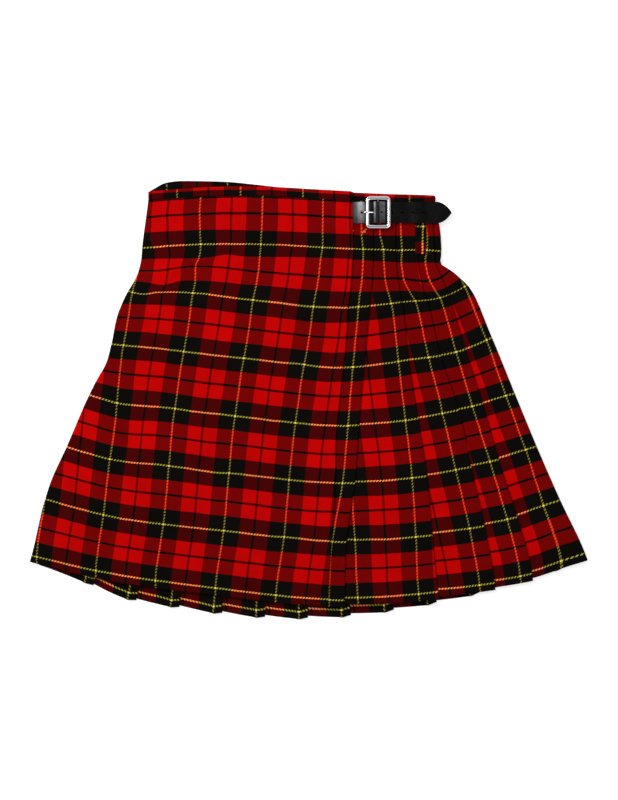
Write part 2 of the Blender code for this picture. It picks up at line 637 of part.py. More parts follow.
def build_buckle_prong():
    """A collar round the centre bar and a finger through the strap, resting on the frame."""
    collar = prism(bar_circle(BAR_RADIUS + CLEAR + 0.9), STRAP_Y - PRONG_COLLAR / 2, STRAP_Y + PRONG_COLLAR / 2, "Y")
    bore = prism(bar_circle(BAR_RADIUS + CLEAR), STRAP_Y - PRONG_COLLAR, STRAP_Y + PRONG_COLLAR, "Y")
    rings = []
    for k, bend in enumerate(PRONG_PATH):
        ahead, behind = PRONG_PATH[min(k + 1, len(PRONG_PATH) - 1)], PRONG_PATH[max(k - 1, 0)]
        run = math.hypot(ahead.along - behind.along, ahead.height - behind.height)
        nx, nz = -(ahead.height - behind.height) / run, (ahead.along - behind.along) / run
        end = 0.72 if k == len(PRONG_PATH) - 1 else 1.0
        ring = []
        for angle in np.radians(np.arange(22.5, 360, 45)):
            across = PRONG_WIDTH / 2 * end * math.cos(angle)
            up = PRONG_THICK / 2 * end * math.sin(angle)
            ring.append((BAR_X + bend.along + nx * up, STRAP_Y + across, bend.height + nz * up))
        rings.append(ring)
    finger, rows = loft(rings)
    finger.faces.new(rows[0])
    finger.faces.new(rows[-1][::-1])
    body = scratch(combine(scratch(collar, "collar"), scratch(finger, "finger"), "UNION"), "prong")
    return finish(combine(body, scratch(bore, "bore"), "DIFFERENCE"), "buckle_prong", CHROME, 0.2, 1.0)


for old in list(bpy.data.objects):
    bpy.data.objects.remove(old)
kilt = bpy.data.collections.new("Kilt")
cutters = bpy.data.collections.new("Cutters")
bpy.context.scene.collection.children.link(kilt)
bpy.context.scene.collection.children.link(cutters)

cloth_wall("over_apron", over_points, RED)
cloth_wall("under_apron", under_points, RED)
cloth_wall("pleats", pleat_points, RED)
build_waistband()
build_belt_loop()
build_strap()
build_buckle_tab()
build_buckle_frame()
build_buckle_prong()
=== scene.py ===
from math import atan2, cos, degrees, hypot, pi, radians, sin
from types import SimpleNamespace

import bmesh
import bpy
import numpy as np
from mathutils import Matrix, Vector


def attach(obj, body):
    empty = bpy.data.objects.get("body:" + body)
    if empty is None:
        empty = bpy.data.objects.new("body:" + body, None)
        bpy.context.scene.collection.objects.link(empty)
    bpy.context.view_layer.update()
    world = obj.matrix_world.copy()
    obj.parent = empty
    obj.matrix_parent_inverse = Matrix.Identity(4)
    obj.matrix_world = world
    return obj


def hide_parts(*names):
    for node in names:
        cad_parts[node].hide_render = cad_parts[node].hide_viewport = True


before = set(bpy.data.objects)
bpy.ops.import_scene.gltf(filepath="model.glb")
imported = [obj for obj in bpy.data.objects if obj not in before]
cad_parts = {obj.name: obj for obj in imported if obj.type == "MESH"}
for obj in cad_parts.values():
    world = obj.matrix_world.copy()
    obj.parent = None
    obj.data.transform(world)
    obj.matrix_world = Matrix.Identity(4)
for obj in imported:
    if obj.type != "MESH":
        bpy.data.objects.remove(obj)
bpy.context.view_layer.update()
scene = bpy.context.scene
mm = 0.001

# Camera straight above the kilt, a large soft light on each side and a pale floor
studio = {
    "cameraHeight": 2.408,
    "cameraPlace": (0.0, -0.0007),
    "lens": 90.0,
    "floorColours": ("#f1f1ef", "#eeeeec"),
    "floorSize": 9000.0,     # mm, half its width
    "floorGap": 0.4,         # mm below the kilt
    # the room overhead, dim straight above and towards the horizon: share of the way up, brightness
    "worldColour": "#f4f6fa",
    "world": ((0.0, 0.06), (0.30, 0.12), (0.55, 0.46), (0.90, 0.58), (0.96, 0.25), (1.0, 0.06)),
    "panelGain": 0.5,
    "floorGlow": 0.5,
    "lights": (
        # name, place, size, power, colour
        ("keySoftbox", (-1.35, 1.2, 2.0), 1.2, 50.0, "#fffaf2"),
        ("fillSoftbox", (1.5, -0.7, 2.2), 1.8, 17.0, "#f5f8ff"),
        ("leftSpot", (-0.42, 0.44, 2.3), 0.34, 4.0, "#ffffff"),
    ),
}


def linear(hexColour):
    parts = [int(hexColour[k:k + 2], 16) / 255 for k in (1, 3, 5)]
    return [p / 12.92 if p <= 0.04045 else ((p + 0.055) / 1.055) ** 2.4 for p in parts] + [1.0]


def connect(tree, node, inputs):
    # each input gets a link from a socket, a colour or another value
    for name, value in inputs.items():
        if isinstance(value, bpy.types.NodeSocket):
            tree.links.new(value, node.inputs[name])
        else:
            node.inputs[name].default_value = linear(value) if isinstance(value, str) else value


def addNode(tree, kind, inputs=None, **settings):
    node = tree.nodes.new(kind)
    for name, value in settings.items():
        setattr(node, name, value)
    connect(tree, node, inputs or {})
    return node


def maths(tree, operation, *values, kind="ShaderNodeMath"):
    return addNode(tree, kind, dict(enumerate(values)), operation=operation).outputs[0]


def blend(tree, factor, first, second, kind="RGBA"):
    # the inputs of a mix node for colours come after those for numbers
    at, out = (6, 2) if kind == "RGBA" else (2, 0)
    inputs = {0: factor, at: first, at + 1: second}
    return addNode(tree, "ShaderNodeMix", inputs, data_type=kind).outputs[out]


def spread(tree, value, low, high, least, most):
    return addNode(tree, "ShaderNodeMapRange", {
        "Value": value, "From Min": low, "From Max": high, "To Min": least, "To Max": most}).outputs[0]


def objectPlace(tree):
    return addNode(tree, "ShaderNodeTexCoord").outputs["Object"]


def noise(tree, scale, **detail):
    return addNode(tree, "ShaderNodeTexNoise", {"Vector": objectPlace(tree), "Scale": scale, **detail})


def axis(tree, vector, name):
    return addNode(tree, "ShaderNodeSeparateXYZ", {"Vector": vector}).outputs[name]


def bumps(tree, height, strength, distance):
    inputs = {"Strength": strength, "Distance": distance, "Height": height}
    return addNode(tree, "ShaderNodeBump", inputs).outputs["Normal"]


def levelRamp(tree, along, levels):
    ramp = addNode(tree, "ShaderNodeValToRGB", {"Fac": along})
    stops = ramp.color_ramp.elements
    while len(stops) < len(levels):
        stops.new(0.5)
    for stop, (place, level) in zip(stops, levels):
        stop.position = place
        stop.color = (level, level, level, 1.0)
    return ramp.outputs["Color"]


def newMaterial(name, roughness, specular, more):
    material = bpy.data.materials.new(name)
    material.use_nodes = True
    shader = material.node_tree.nodes["Principled BSDF"]
    connect(material.node_tree, shader, {"Roughness": roughness, "Specular IOR Level": specular, **more})
    return material, material.node_tree, shader


def cloudyMaterial(name, roughness, specular, first, second, scale, more=None, **detail):
    # clouds of one colour in another
    material, tree, shader = newMaterial(name, roughness, specular, more or {})
    clouds = noise(tree, scale, **detail).outputs["Fac"]
    connect(tree, shader, {"Base Color": blend(tree, clouds, first, second)})
    return material, tree, shader, clouds


def addObject(name, data):
    made = bpy.data.objects.new(name, data)
    scene.collection.objects.link(made)
    return made


def addMesh(name, bm):
    mesh = bpy.data.meshes.new(name)
    bm.to_mesh(mesh)
    bm.free()
    return addObject(name, mesh)


def makePiece(name, bm, material, slot):
    for face in bm.faces:
        face.smooth = True
    bmesh.ops.scale(bm, vec=(mm, mm, mm), verts=bm.verts)
    piece = addMesh(name, bm)
    piece.data.materials.append(material)
    if slot:
        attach(piece, "root")
    return piece


def placeCamera():
    camera = bpy.data.cameras.new("camera")
    camera.lens = studio["lens"]
    camera.sensor_width = 36.0
    camera.clip_end = 50.0
    scene.camera = addObject("camera", camera)
    scene.camera.location = (*studio["cameraPlace"], studio["cameraHeight"])


def placeLights():
    for name, place, size, power, colour in studio["lights"]:
        lamp = bpy.data.lights.new(name, "AREA")
        lamp.shape = "DISK"
        lamp.size = size
        lamp.energy = power
        lamp.color = linear(colour)[:3]
        lampObject = addObject(name, lamp)
        lampObject.location = place
        x, y, z = place
        lampObject.rotation_euler = (atan2(hypot(x, y), z), 0.0, atan2(-y, -x) - pi / 2)


def lightRoom():
    scene.world = bpy.data.worlds.new("studioWorld")
    scene.world.use_nodes = True
    tree = scene.world.node_tree
    around = addNode(tree, "ShaderNodeTexCoord").outputs["Generated"]
    brightness = levelRamp(tree, axis(tree, around, "Z"), studio["world"])
    # reflections see brighter panels than the cloth does, and the camera sees a white room
    rays = addNode(tree, "ShaderNodeLightPath").outputs
    gain = maths(tree, "MULTIPLY_ADD", rays["Is Glossy Ray"], studio["panelGain"], 1.0)
    panels = maths(tree, "MULTIPLY", brightness, gain)
    room = blend(tree, rays["Is Camera Ray"], panels, 1.0, "FLOAT")
    connect(tree, tree.nodes["Background"], {"Color": studio["worldColour"], "Strength": room})


def layFloor():
    # matt translucent board, faintly lit from behind
    glow = {"Emission Color": "#ffffff", "Emission Strength": studio["floorGlow"]}
    board = cloudyMaterial("mattBoard", 0.9, 0.1, *studio["floorColours"], 3.0, glow)[0]
    bm = bmesh.new()
    bmesh.ops.create_grid(bm, x_segments=4, y_segments=4, size=studio["floorSize"])
    bmesh.ops.translate(bm, vec=(0, 0, -studio["floorGap"]), verts=bm.verts)
    makePiece("floor", bm, board, None)


scene.view_settings.view_transform = "Standard"
placeCamera()
placeLights()
lightRoom()
layFloor()
print("studio ready")

# Where the rows of cloth, their sides and their folds lie, in millimetres
kilt = {
    "drop": 482.0,           # from the waistband's seam to the hem
    "cloth": 0.9,            # wool twill of a light kilt
    "half": 0.5,             # half a wall, with the room that it takes up
    "layer": 1.5,            # from one layer of a pleat to the next
    "clear": 0.3,
    "sett": 72.8,            # from one yellow warp stripe to the next
    "firstWeft": 56.0,       # drop of the highest yellow stripe of the weft
    "floorMid": 0.5,
    "underMid": 4.8,
    "faceWaist": 7.8,        # pleats on the front, sewn down above the fell
    "faceBelow": 9.1,        # and loose below it
    "fell": (60, 40),        # drop to which the pleats are sewn down, and over which they come loose
    "tilt": 1.3,             # the loose pleats dip by so much towards the next fold
    "dipFrom": 14,           # and lie flat again this near the side's turn
    "overWaist": 7.1,
    "overBelow": 6.1,
    # the over apron's climb on to the first pleat, from the pleat's root, and on to the strap, from
    # the free edge: start and length; and the drop at which the strap no longer lifts it
    "pleatClimb": (-20, 14),
    "strapClimb": (-38, 12),
    "strapDrop": (31, 15),
    "onStrap": 10.6,         # top of the strap's root and of the buckle's tab under it
    "pleats": 18,
    "deepest": 0.75,         # a hidden fold's depth as a share of its pleat
    "shallowest": 3.0,
    "ramp": 4.4,             # from the edge of a fold down to the face of the next
    "firstDepth": (60.0, 19.0),     # waist, hem
    "firstLead": 24.0,
    "fifth": (50.0, 37.0),
    "last": (9.0, 14.6),
    "hiddenHem": 3.0,
    "hemStep": (1.5, 2.4),           # front, back
    # share of the hem's bow that the back's rows take on in their first 90 mm
    "backSag": (0.12, 90),
    # places across the back, and its bow there
    "backShares": (0, 0.045, 0.1, 0.13, 0.17, 0.25, 0.5, 0.75, 1),
    "backBowWaist": (0, 9.3, 13.3, 13.6, 13.5, 12.9, 5.6, 2.4, 0),
    "backBowHem": (0, -10.4, -24.0, -33.5, -43.0, -53.0, -68.0, -47.0, 0),
    # drop, left x y, hip x y, middle x y, free edge x y
    "apronRows": (
        (0, -193.2, 240, -130, 244.3, -56, 245, 52, 239),
        (21, -196.1, 218, -130, 222.2, -56, 222.6, 52, 217),
        (38, -198.6, 200, -130, 203, -57, 202.2, 52.5, 197.6),
        (56, -200.8, 181.3, -131, 185.4, -58, 185.6, 53, 179.8),
        (74, -201.9, 167.6, -131, 168.6, -59, 170, 51.9, 167),
        (91, -205.3, 153.5, -132, 159.2, -60, 152.5, 50.6, 144.8),
        (108, -210.6, 141.5, -134, 141.8, -62, 136.5, 49, 128.5),
        (126, -217.8, 130, -139, 127, -66, 118, 46.4, 109),
        (154, -229.4, 104, -170, 101.2, -70, 90.3, 45, 80.2),
        (195, -237.8, 66, -221, 64, -78, 49, 41, 38),
        (218, -243.6, 44.5, -223.5, 41.8, -81.6, 27, 38, 15.2),
        (246, -256.3, 21.5, -227, 13.7, -85.7, -1, 35, -13),
        (265, -264.6, 5, -230, -6, -88, -20, 33, -32),
        (335, -292, -58, -239, -73, -97, -89, 31, -101),
        (380, -310.4, -98.5, -244.3, -115.5, -100.7, -133.5, 28.6, -146),
        (404, -317.5, -120, -247, -139, -103, -158, 27, -170),
        (474, -333.8, -188, -257, -206, -112, -227, 23, -240),
        (482, -335.8, -195, -259, -214, -113, -235, 23, -248),
    ),
    # drop, fold 0 x, fold 1 x y, fold 2 x, fold 3 x y, side x y, fold 4 past the start of the turn
    "pleatRows": (
        (0, 77, 103, 237.5, 128, 145, 236.3, 152, 236, 30),
        (38, 77, 104, 196, 130, 150, 195.8, 158.5, 196, 31),
        (56, 77, 104.5, 178.4, 130.5, 151, 178, 159.3, 177.2, 31),
        (76, 77, 105, 161.5, 131, 152.5, 161, 159.5, 161.5, 32),
        (84, 76.5, 106, 152.5, 133, 156, 153.5, 165, 158.5, 31.5),
        (92, 76, 107, 143, 135, 160, 145, 172, 154, 31),
        (108, 74.5, 109, 130, 138, 164, 134, 182, 145.5, 30.5),
        (126, 73, 112, 116, 142, 168, 125, 191, 137, 30),
        (195, 66, 120, 47, 158, 188, 60, 220, 74, 28),
        (265, 60, 131, -23, 180, 209, -5, 247.5, 7, 26),
        (335, 55, 142, -92, 195, 228, -72, 274, -57, 24),
        (404, 45, 148, -162, 211, 250, -140, 302, -121, 22),
        (474, 43, 155, -230, 223, 268, -208, 332, -185, 20),
        (482, 43, 156, -238, 224, 269, -216, 335, -193, 20),
    ),
    # where the cloth has slipped down or up: x, drop, reach across and down, shift
    "slips": (
        (-176, 108, 16, 12, -5.0), (-176, 91, 18, 8, -1.8), (-200, 126, 14, 10, -4.5),
        (-98, 74, 16, 9, 3.5), (-178, 280, 40, 72, 5.2), (-112, 335, 20, 30, -1.6),
        (-72, 265, 30, 30, -1.0), (-13, 195, 18, 25, 1.3), (-20, 404, 18, 30, 1.1),
    ),
}

# Soft folds pressed and rubbed into the cloth: from x y to x y, width, height, in millimetres
creases = {
    "ends": (0.12, 0.42),    # as shares of a fold's length: how far it runs on and how far it fades
    "sharpness": 1.8,
    "frontFrom": 6.0,        # height of the cloth from which the front's folds show in full
    "through": (1.4, 0.4),   # how much of the back's folds shows on low and on high cloth
    "front": (
        (-233, 0, -266, -196, 15, 1.7), (-214, -12, -243, -190, 12, -0.9), (-284, -78, -309, -176, 11, 1.1),
        (-262, 18, -281, -52, 10, -0.7), (14, -30, 2, -236, 9, 1.0), (26, -92, 13, -240, 6, 0.8),
        (-12, -120, -22, -238, 11, -0.7), (-199, 152, -162, 147, 8.5, 2.8), (-203, 136, -172, 134, 4, -1.2),
        (-168, 138, -146, 158, 3.4, -1.2), (-150, 162, -104, 175, 6, 1.7), (-146, 154, -112, 163, 5, -0.8),
        (-200, 172, -158, 172, 5, -0.7), (-206, 122, -176, 118, 8, 1.1), (-92, 186, -92.5, 175, 3.0, 1.1),
        (-86, 188, -86.5, 176, 3.0, -0.6), (-150, 224, -62, 227, 7, 0.5), (-40, 217, 26, 223, 6, -0.4),
        (-128, 212, -118, 176, 10, 0.6), (-30, 206, -38, 150, 12, 0.55), (-120, 152, -62, 62, 17, 0.95),
        (-58, 138, -40, 22, 15, -0.8), (-184, 118, -206, 22, 14, 1.2), (-150, 96, -163, -22, 13, -0.9),
        (-120, 34, -140, -98, 18, 1.0), (-84, -10, -72, -132, 14, -0.8), (-48, -28, -62, -180, 17, 0.9),
        (-172, -64, -186, -208, 14, 1.0), (-212, -120, -222, -206, 9, -0.7),
        (-138, -150, -146, -226, 12, -0.8), (-96, -168, -99, -232, 13, 1.0), (20, 130, 10, 20, 13, -0.6),
        (-14, 96, -6, -4, 11, 0.7), (62, 96, 58, -40, 5, 0.7), (92, 66, 99, -60, 10, 0.9),
        (86, -92, 96, -214, 12, 1.2), (122, -60, 130, -212, 9, -0.8), (140, 60, 151, -30, 7, 0.8),
        (172, -20, 186, -120, 8, 0.9), (190, -110, 203, -212, 9, 1.0), (214, -70, 236, -186, 8, 0.9),
        (206, 110, 226, 34, 8, 1.0), (246, -40, 268, -112, 9, 1.1), (282, -110, 302, -190, 10, 1.2),
        (163, 158, 178, 142, 7, 1.5), (309, -150, 317, -202, 3, 1.3), (45.4, -150, 27, -216, 3.2, 1.5),
        (38, -150, 22, -205, 3.0, -0.8),
    ),
    "back": (
        (-170, 200, -160, 96, 10, 0.8), (-90, 150, -104, 20, 13, 1.0), (-20, 170, -8, 60, 11, 0.8),
        (60, 140, 74, 10, 14, 1.1), (120, 90, 142, -30, 12, 1.0), (-150, 20, -186, -120, 15, 1.4),
        (-230, -10, -262, -120, 12, 1.2), (-60, -30, -82, -190, 14, 1.3), (10, -40, 2, -220, 16, 1.2),
        (84, -60, 108, -226, 13, 1.4), (170, -30, 206, -170, 14, 1.3), (236, -40, 270, -140, 10, 1.1),
        (-120, -170, -134, -250, 9, 1.0), (150, -190, 160, -262, 8, 0.9),
    ),
}


def bell(x, drop, middleX, middleDrop, across, down, height):
    # a soft bump in numbers or arrays
    return height * np.exp(-((x - middleX) / across) ** 2 - ((drop - middleDrop) / down) ** 2)


def mix(a, b, t):
    return a + (b - a) * t


def ease(t):
    t = min(max(t, 0.0), 1.0)
    return t * t * (3 - 2 * t)


def rise(value, start, reach):
    # from 0 at the start to 1 past the reach
    return ease((value - start) / reach)


def smoothCurve(knots, values, at):
    at = min(max(at, knots[0]), knots[-1])
    spans = [b - a for a, b in zip(knots, knots[1:])]
    chords = [(b - a) / s for a, b, s in zip(values, values[1:], spans)]
    i = max(k for k in range(len(spans)) if knots[k] <= at)
    tangents = []
    for k in (i, i + 1):
        before = max(k - 1, 0)
        after = min(k, len(spans) - 1)
        weight = spans[before] + spans[after]
        tangents.append((chords[before] * spans[after] + chords[after] * spans[before]) / weight)
    t = (at - knots[i]) / spans[i]
    rise = 3 * t**2 - 2 * t**3
    bend = tangents[0] * (t**3 - 2 * t**2 + t) + tangents[1] * (t**3 - t**2)
    return values[i] + (values[i + 1] - values[i]) * rise + spans[i] * bend


def tableAt(table, drop):
    drops = [line[0] for line in table]
    return [smoothCurve(drops, column, drop) for column in list(zip(*table))[1:]]


def rowAt(drop):
    r = SimpleNamespace(drop=drop)
    r.leftX, r.leftY, r.hipX, r.hipY, r.midX, r.midY, r.edgeX, r.edgeY = tableAt(kilt["apronRows"], drop)
    pleat = tableAt(kilt["pleatRows"], drop)
    r.fold0X, r.fold1X, r.fold1Y, fold2X, r.fold3X, r.fold3Y, r.sideX, r.sideY, fold4 = pleat
    r.down = drop / kilt["drop"]
    loose = rise(drop, *kilt["fell"])
    r.face = mix(kilt["faceWaist"], kilt["faceBelow"], loose)
    r.tilt = kilt["tilt"] * loose
    r.over = mix(kilt["overWaist"], kilt["overBelow"], ease(drop / kilt["fell"][0]))
    r.radius = (r.face - kilt["floorMid"]) / 2
    r.turn = pi * r.radius
    r.centre = r.sideX - r.radius - kilt["half"]
    r.lastX = r.leftX + mix(*kilt["last"], r.down)
    # fold edges as distances along the row, from the start of the right side's turn
    fifthX = r.sideX - mix(*kilt["fifth"], r.down)
    pitch = (fifthX - r.lastX) / (kilt["pleats"] - 6)
    r.folds = [x - r.centre for x in (r.fold0X, r.fold1X, fold2X, r.fold3X)] + [fold4]
    r.folds += [r.turn + r.centre - fifthX + pitch * k for k in range(kilt["pleats"] - 5)]
    first = mix(*kilt["firstDepth"], r.down)
    r.widths = [first / kilt["deepest"]] + [b - a for a, b in zip(r.folds, r.folds[1:])]
    following = r.widths[1:] + [pitch]
    r.depths = [first]
    for width, after in zip(r.widths[1:], following[1:]):
        depth = min(kilt["deepest"] * width, (kilt["sett"] - after) / 2)
        r.depths.append(max(kilt["shallowest"], depth))
    r.depths[4] = min(r.depths[4], fold4 - r.turn - 2)
    return r


def placeOn(r, along, inward):
    if along <= 0:
        return r.centre + along, r.face - inward
    if along >= r.turn:
        return r.centre - (along - r.turn), kilt["floorMid"] + inward
    angle = along / r.radius
    reach = r.radius - inward
    return r.centre + reach * sin(angle), kilt["floorMid"] + r.radius + reach * cos(angle)


def frontY(r, x):
    knots = [r.leftX, r.hipX, r.midX, r.edgeX, r.fold1X, r.fold3X, r.sideX]
    y = smoothCurve(knots, [r.leftY, r.hipY, r.midY, r.edgeY, r.fold1Y, r.fold3Y, r.sideY], x)
    return y + sum(bell(x, r.drop, *slip) for slip in kilt["slips"])


def backY(r, x):
    shares = kilt["backShares"]
    knots = [mix(r.leftX, r.sideX, t) for t in shares]
    share, reach = kilt["backSag"]
    down = mix(share * rise(r.drop, 0, reach), 1, r.down)
    bow = [mix(a, b, down) for a, b in zip(kilt["backBowWaist"], kilt["backBowHem"])]
    values = [mix(r.leftY, r.sideY, t) + b for t, b in zip(shares, bow)]
    return smoothCurve(knots, values, x)


def dipAt(r, i, along):
    slope = (r.folds[i] - along) / (kilt["deepest"] * r.widths[i])
    return r.tilt * min(max(slope, 0.0), 1 / kilt["deepest"]) * ease(-along / kilt["dipFrom"])


def overZ(r, x):
    root = r.fold0X - r.depths[0]
    fall = r.tilt * min((r.fold0X - x) / r.depths[0], 1.0)
    onPleat = r.face - fall + 2 * kilt["half"] + kilt["clear"]
    z = mix(r.over, onPleat, rise(x - root, *kilt["pleatClimb"]))
    onStrap = rise(x - r.edgeX, *kilt["strapClimb"]) * (1 - rise(r.drop, *kilt["strapDrop"]))
    return mix(z, kilt["onStrap"] + kilt["clear"] + kilt["half"], onStrap)


def reliefAt(points, lines):
    total = np.zeros(len(points))
    past, reach = creases["ends"]
    for x0, y0, x1, y1, width, height in lines:
        run = np.array((x1 - x0, y1 - y0))
        length = np.hypot(*run)
        run = run / length
        rel = points[:, :2] - (x0, y0)
        t = rel @ run / length
        off = np.abs(rel @ np.array((-run[1], run[0])))
        fade = np.clip(np.minimum(t + past, 1 + past - t) / reach, 0, 1)
        fade = fade * fade * (3 - 2 * fade)
        total += height * fade * np.exp(-(off / width) ** 2 * creases["sharpness"])
    return total


def crease(points):
    share = np.clip(points[:, 2] / creases["frontFrom"], 0, 1)
    most, least = creases["through"]
    lift = reliefAt(points, creases["back"]) * np.clip(most - share, least, 1)
    points = points.copy()
    points[:, 2] += reliefAt(points, creases["front"]) * share + lift
    return points


def gridMesh(columns, rows):
    # a grid of so many steps across and up, and the step that each of its vertices is at
    bm = bmesh.new()
    bmesh.ops.create_grid(bm, x_segments=columns, y_segments=rows, size=1.0)
    places = {}
    for vert in bm.verts:
        places[vert] = (round((vert.co.x + 1) / 2 * columns), round((vert.co.y + 1) / 2 * rows))
    return bm, places


def gridSheet(name, rings, thickness):
    # rings: rows by columns of x, y, z, u, v and how much further on u is on the upper side
    rings = np.asarray(rings)
    rows, columns, width = rings.shape
    bm, places = gridMesh(columns - 1, rows - 1)
    layers = bm.loops.layers.uv
    for layer in ("tartan", "upperSide"):
        layers.new(layer)
    tartan, upperSide = layers["tartan"], layers["upperSide"]
    for face in bm.faces:
        for loop in face.loops:
            ring = rings[places[loop.vert][::-1]]
            loop[tartan].uv = ring[3:5]
            loop[upperSide].uv = (ring[5] if width > 5 else 0.0, 0.0)
    for vert, place in places.items():
        vert.co = rings[place[::-1]][:3]
    piece = makePiece(name, bm, twillMaterial, "tartan_cloth")
    wall = piece.modifiers.new("wall", "SOLIDIFY")
    wall.thickness = thickness * mm
    wall.offset = 0.0
    wall.use_even_offset = True
    return piece


def clothSheet(name, rowPitch, ringAt):
    # one row of points after another down the cloth's drop, closer together at both ends
    rings = []
    length = kilt["drop"]
    for drop in (0.0, *np.linspace(1.2, length - 1.2, round(length / rowPitch)), length):
        points, u, *upperShift = ringAt(drop)
        v = np.full(len(u), drop - kilt["firstWeft"])
        rings.append(np.column_stack([crease(points), u, v, *upperShift]))
    return gridSheet(name, rings, kilt["cloth"])


def arcs(points):
    return np.concatenate([[0], np.cumsum(np.linalg.norm(np.diff(points[:, :3], axis=0), axis=1))])


def turnAngles(steps):
    # evenly round half a turn, without its two ends
    return np.radians(np.linspace(0, 180, steps + 2)[1:-1])


def leftTurn(r, centre, radius, low, steps):
    # round the left side, from the front to the back
    points = []
    for angle in turnAngles(steps):
        x = centre - radius * sin(angle)
        y = mix(frontY(r, x), backY(r, x), ease(degrees(angle) / 180))
        points.append((x, y, low + radius + radius * cos(angle)))
    return points


# Worsted kilt cloth in a 2/2 twill: matt, slightly hairy, each yarn one colour, so that where
# two colours cross they show as fine diagonal steps and read as a darker mixture
twill = {
    # side, mm of the repeat there and its yarns, 0.9 mm apart, coarser than real to show
    "setts": (("X", 72.8, 81), ("Y", 69.7, 75)),
    "offset": 0.5,           # the yellow stripe's middle is a gap between two yarns
    "wander": (1.6, 1.6, 0.0),
    # ends of yellow, black and red, as shares of half the repeat; a thin black stripe follows
    "stripes": (0.025, 0.510, 0.96),
    # yellow, black, red and the thin black stripe as numbers, and the limits between them: from where
    # a yarn counts as red and as yellow, and how much sooner it counts as red below a yellow one
    "kinds": (1.0, 0.0, 0.5, 0.16),
    "limits": (0.25, 0.75, 0.12),
    # colours of a yellow, a black and a red yarn where it floats over black, over red and over yellow
    "weftOver": (("#aca33c", "#0b0907", "#7a0202"), ("#ffa25a", "#390303", "#b80202")),
    "warpOver": (("#897d35", "#0b0907", "#4c0204"), ("#f04724", "#680202", "#b80202")),
    "overYellow": ("#f4e352", "#17130a", "#b82008"),
}


def stripeRamp(tree, share, colours):
    ramp = addNode(tree, "ShaderNodeValToRGB", {"Fac": share})
    ramp.color_ramp.interpolation = "CONSTANT"
    stops = ramp.color_ramp.elements
    stops[0].position = 0.0
    stops[1].position = twill["stripes"][0]
    for position in twill["stripes"][1:]:
        stops.new(position)
    for stop, colour in zip(stops, colours):
        stop.color = colour
    return ramp.outputs["Color"]


def yarnsOf(tree, place, sett, count):
    scaled = maths(tree, "DIVIDE", place, sett / count)
    number = maths(tree, "FLOOR", scaled)
    middle = maths(tree, "ADD", number, twill["offset"])
    share = maths(tree, "DIVIDE", maths(tree, "PINGPONG", middle, count / 2), count / 2)
    kind = stripeRamp(tree, share, [[k] * 4 for k in twill["kinds"]])
    crown = maths(tree, "PINGPONG", maths(tree, "FRACT", scaled), 0.5)
    return SimpleNamespace(scaled=scaled, number=number, share=share, kind=kind, crown=crown)


def yarnColour(tree, top, under, colours):
    # a thin black stripe hardly dims the yellow yarns that cross it
    redFrom, yellowFrom, eased = twill["limits"]
    limit = maths(tree, "MULTIPLY_ADD", top.kind, -eased, redFrom)
    overRed = maths(tree, "GREATER_THAN", under.kind, limit)
    overYellow = maths(tree, "GREATER_THAN", under.kind, yellowFrom)
    ramps = []
    for tones in (*colours, twill["overYellow"]):
        yellow, black, red = map(linear, tones)
        ramps.append(stripeRamp(tree, top.share, (yellow, black, red, black)))
    return blend(tree, overYellow, blend(tree, overRed, ramps[0], ramps[1]), ramps[2])


def makeTwill():
    nap = {"Sheen Weight": 0.01, "Sheen Roughness": 0.5, "Sheen Tint": "#ff9d8c"}
    material, tree, shader = newMaterial("worstedTwill", 0.95, 0.03, nap)
    inTartan, upperShift = [
        addNode(tree, "ShaderNodeUVMap", uv_map=layer).outputs["UV"] for layer in ("tartan", "upperSide")]
    facing = addNode(tree, "ShaderNodeNewGeometry").outputs["True Normal"]
    faceUp = maths(tree, "GREATER_THAN", axis(tree, facing, "Z"), 0.0)
    place = maths(tree, "MULTIPLY_ADD", upperShift, faceUp, inTartan, kind="ShaderNodeVectorMath")
    # yarns wander by a quarter of a millimetre
    wander = noise(tree, 40.0, Detail=2.0).outputs["Color"]
    place = maths(tree, "MULTIPLY_ADD", wander, twill["wander"], place, kind="ShaderNodeVectorMath")
    warp, weft = [yarnsOf(tree, axis(tree, place, side), sett, count) for side, sett, count in twill["setts"]]
    # each yarn goes over two and under two, one further on in each row
    step = maths(tree, "FLOORED_MODULO", maths(tree, "ADD", warp.number, weft.number), 4.0)
    warpOnTop = maths(tree, "LESS_THAN", step, 1.5)
    weftColour = yarnColour(tree, weft, warp, twill["weftOver"])
    cloth = blend(tree, warpOnTop, weftColour, yarnColour(tree, warp, weft, twill["warpOver"]))
    # uneven dye and rubbed nap, in patches of a few centimetres
    patches = noise(tree, 24.0, Detail=5.0, Roughness=0.6).outputs["Fac"]
    depth = spread(tree, patches, 0.3, 0.7, 0.88, 1.1)
    dyed = addNode(tree, "ShaderNodeVectorMath", {0: cloth, "Scale": depth}, operation="SCALE").outputs[0]
    # round yarns, twill ribs 2.6 mm apart across the cloth, and short hairs
    crown = blend(tree, warpOnTop, weft.crown, warp.crown, "FLOAT")
    rib = maths(tree, "PINGPONG", maths(tree, "ADD", warp.scaled, weft.scaled), 2.0)
    hairs = noise(tree, 800.0, Detail=3.0).outputs["Fac"]
    height = maths(tree, "MULTIPLY_ADD", hairs, 0.9, maths(tree, "MULTIPLY_ADD", rib, 0.3, crown))
    connect(tree, shader, {"Base Color": dyed, "Normal": bumps(tree, height, 0.6, 0.0002)})
    return material


twillMaterial = makeTwill()
print("worsted twill ready")

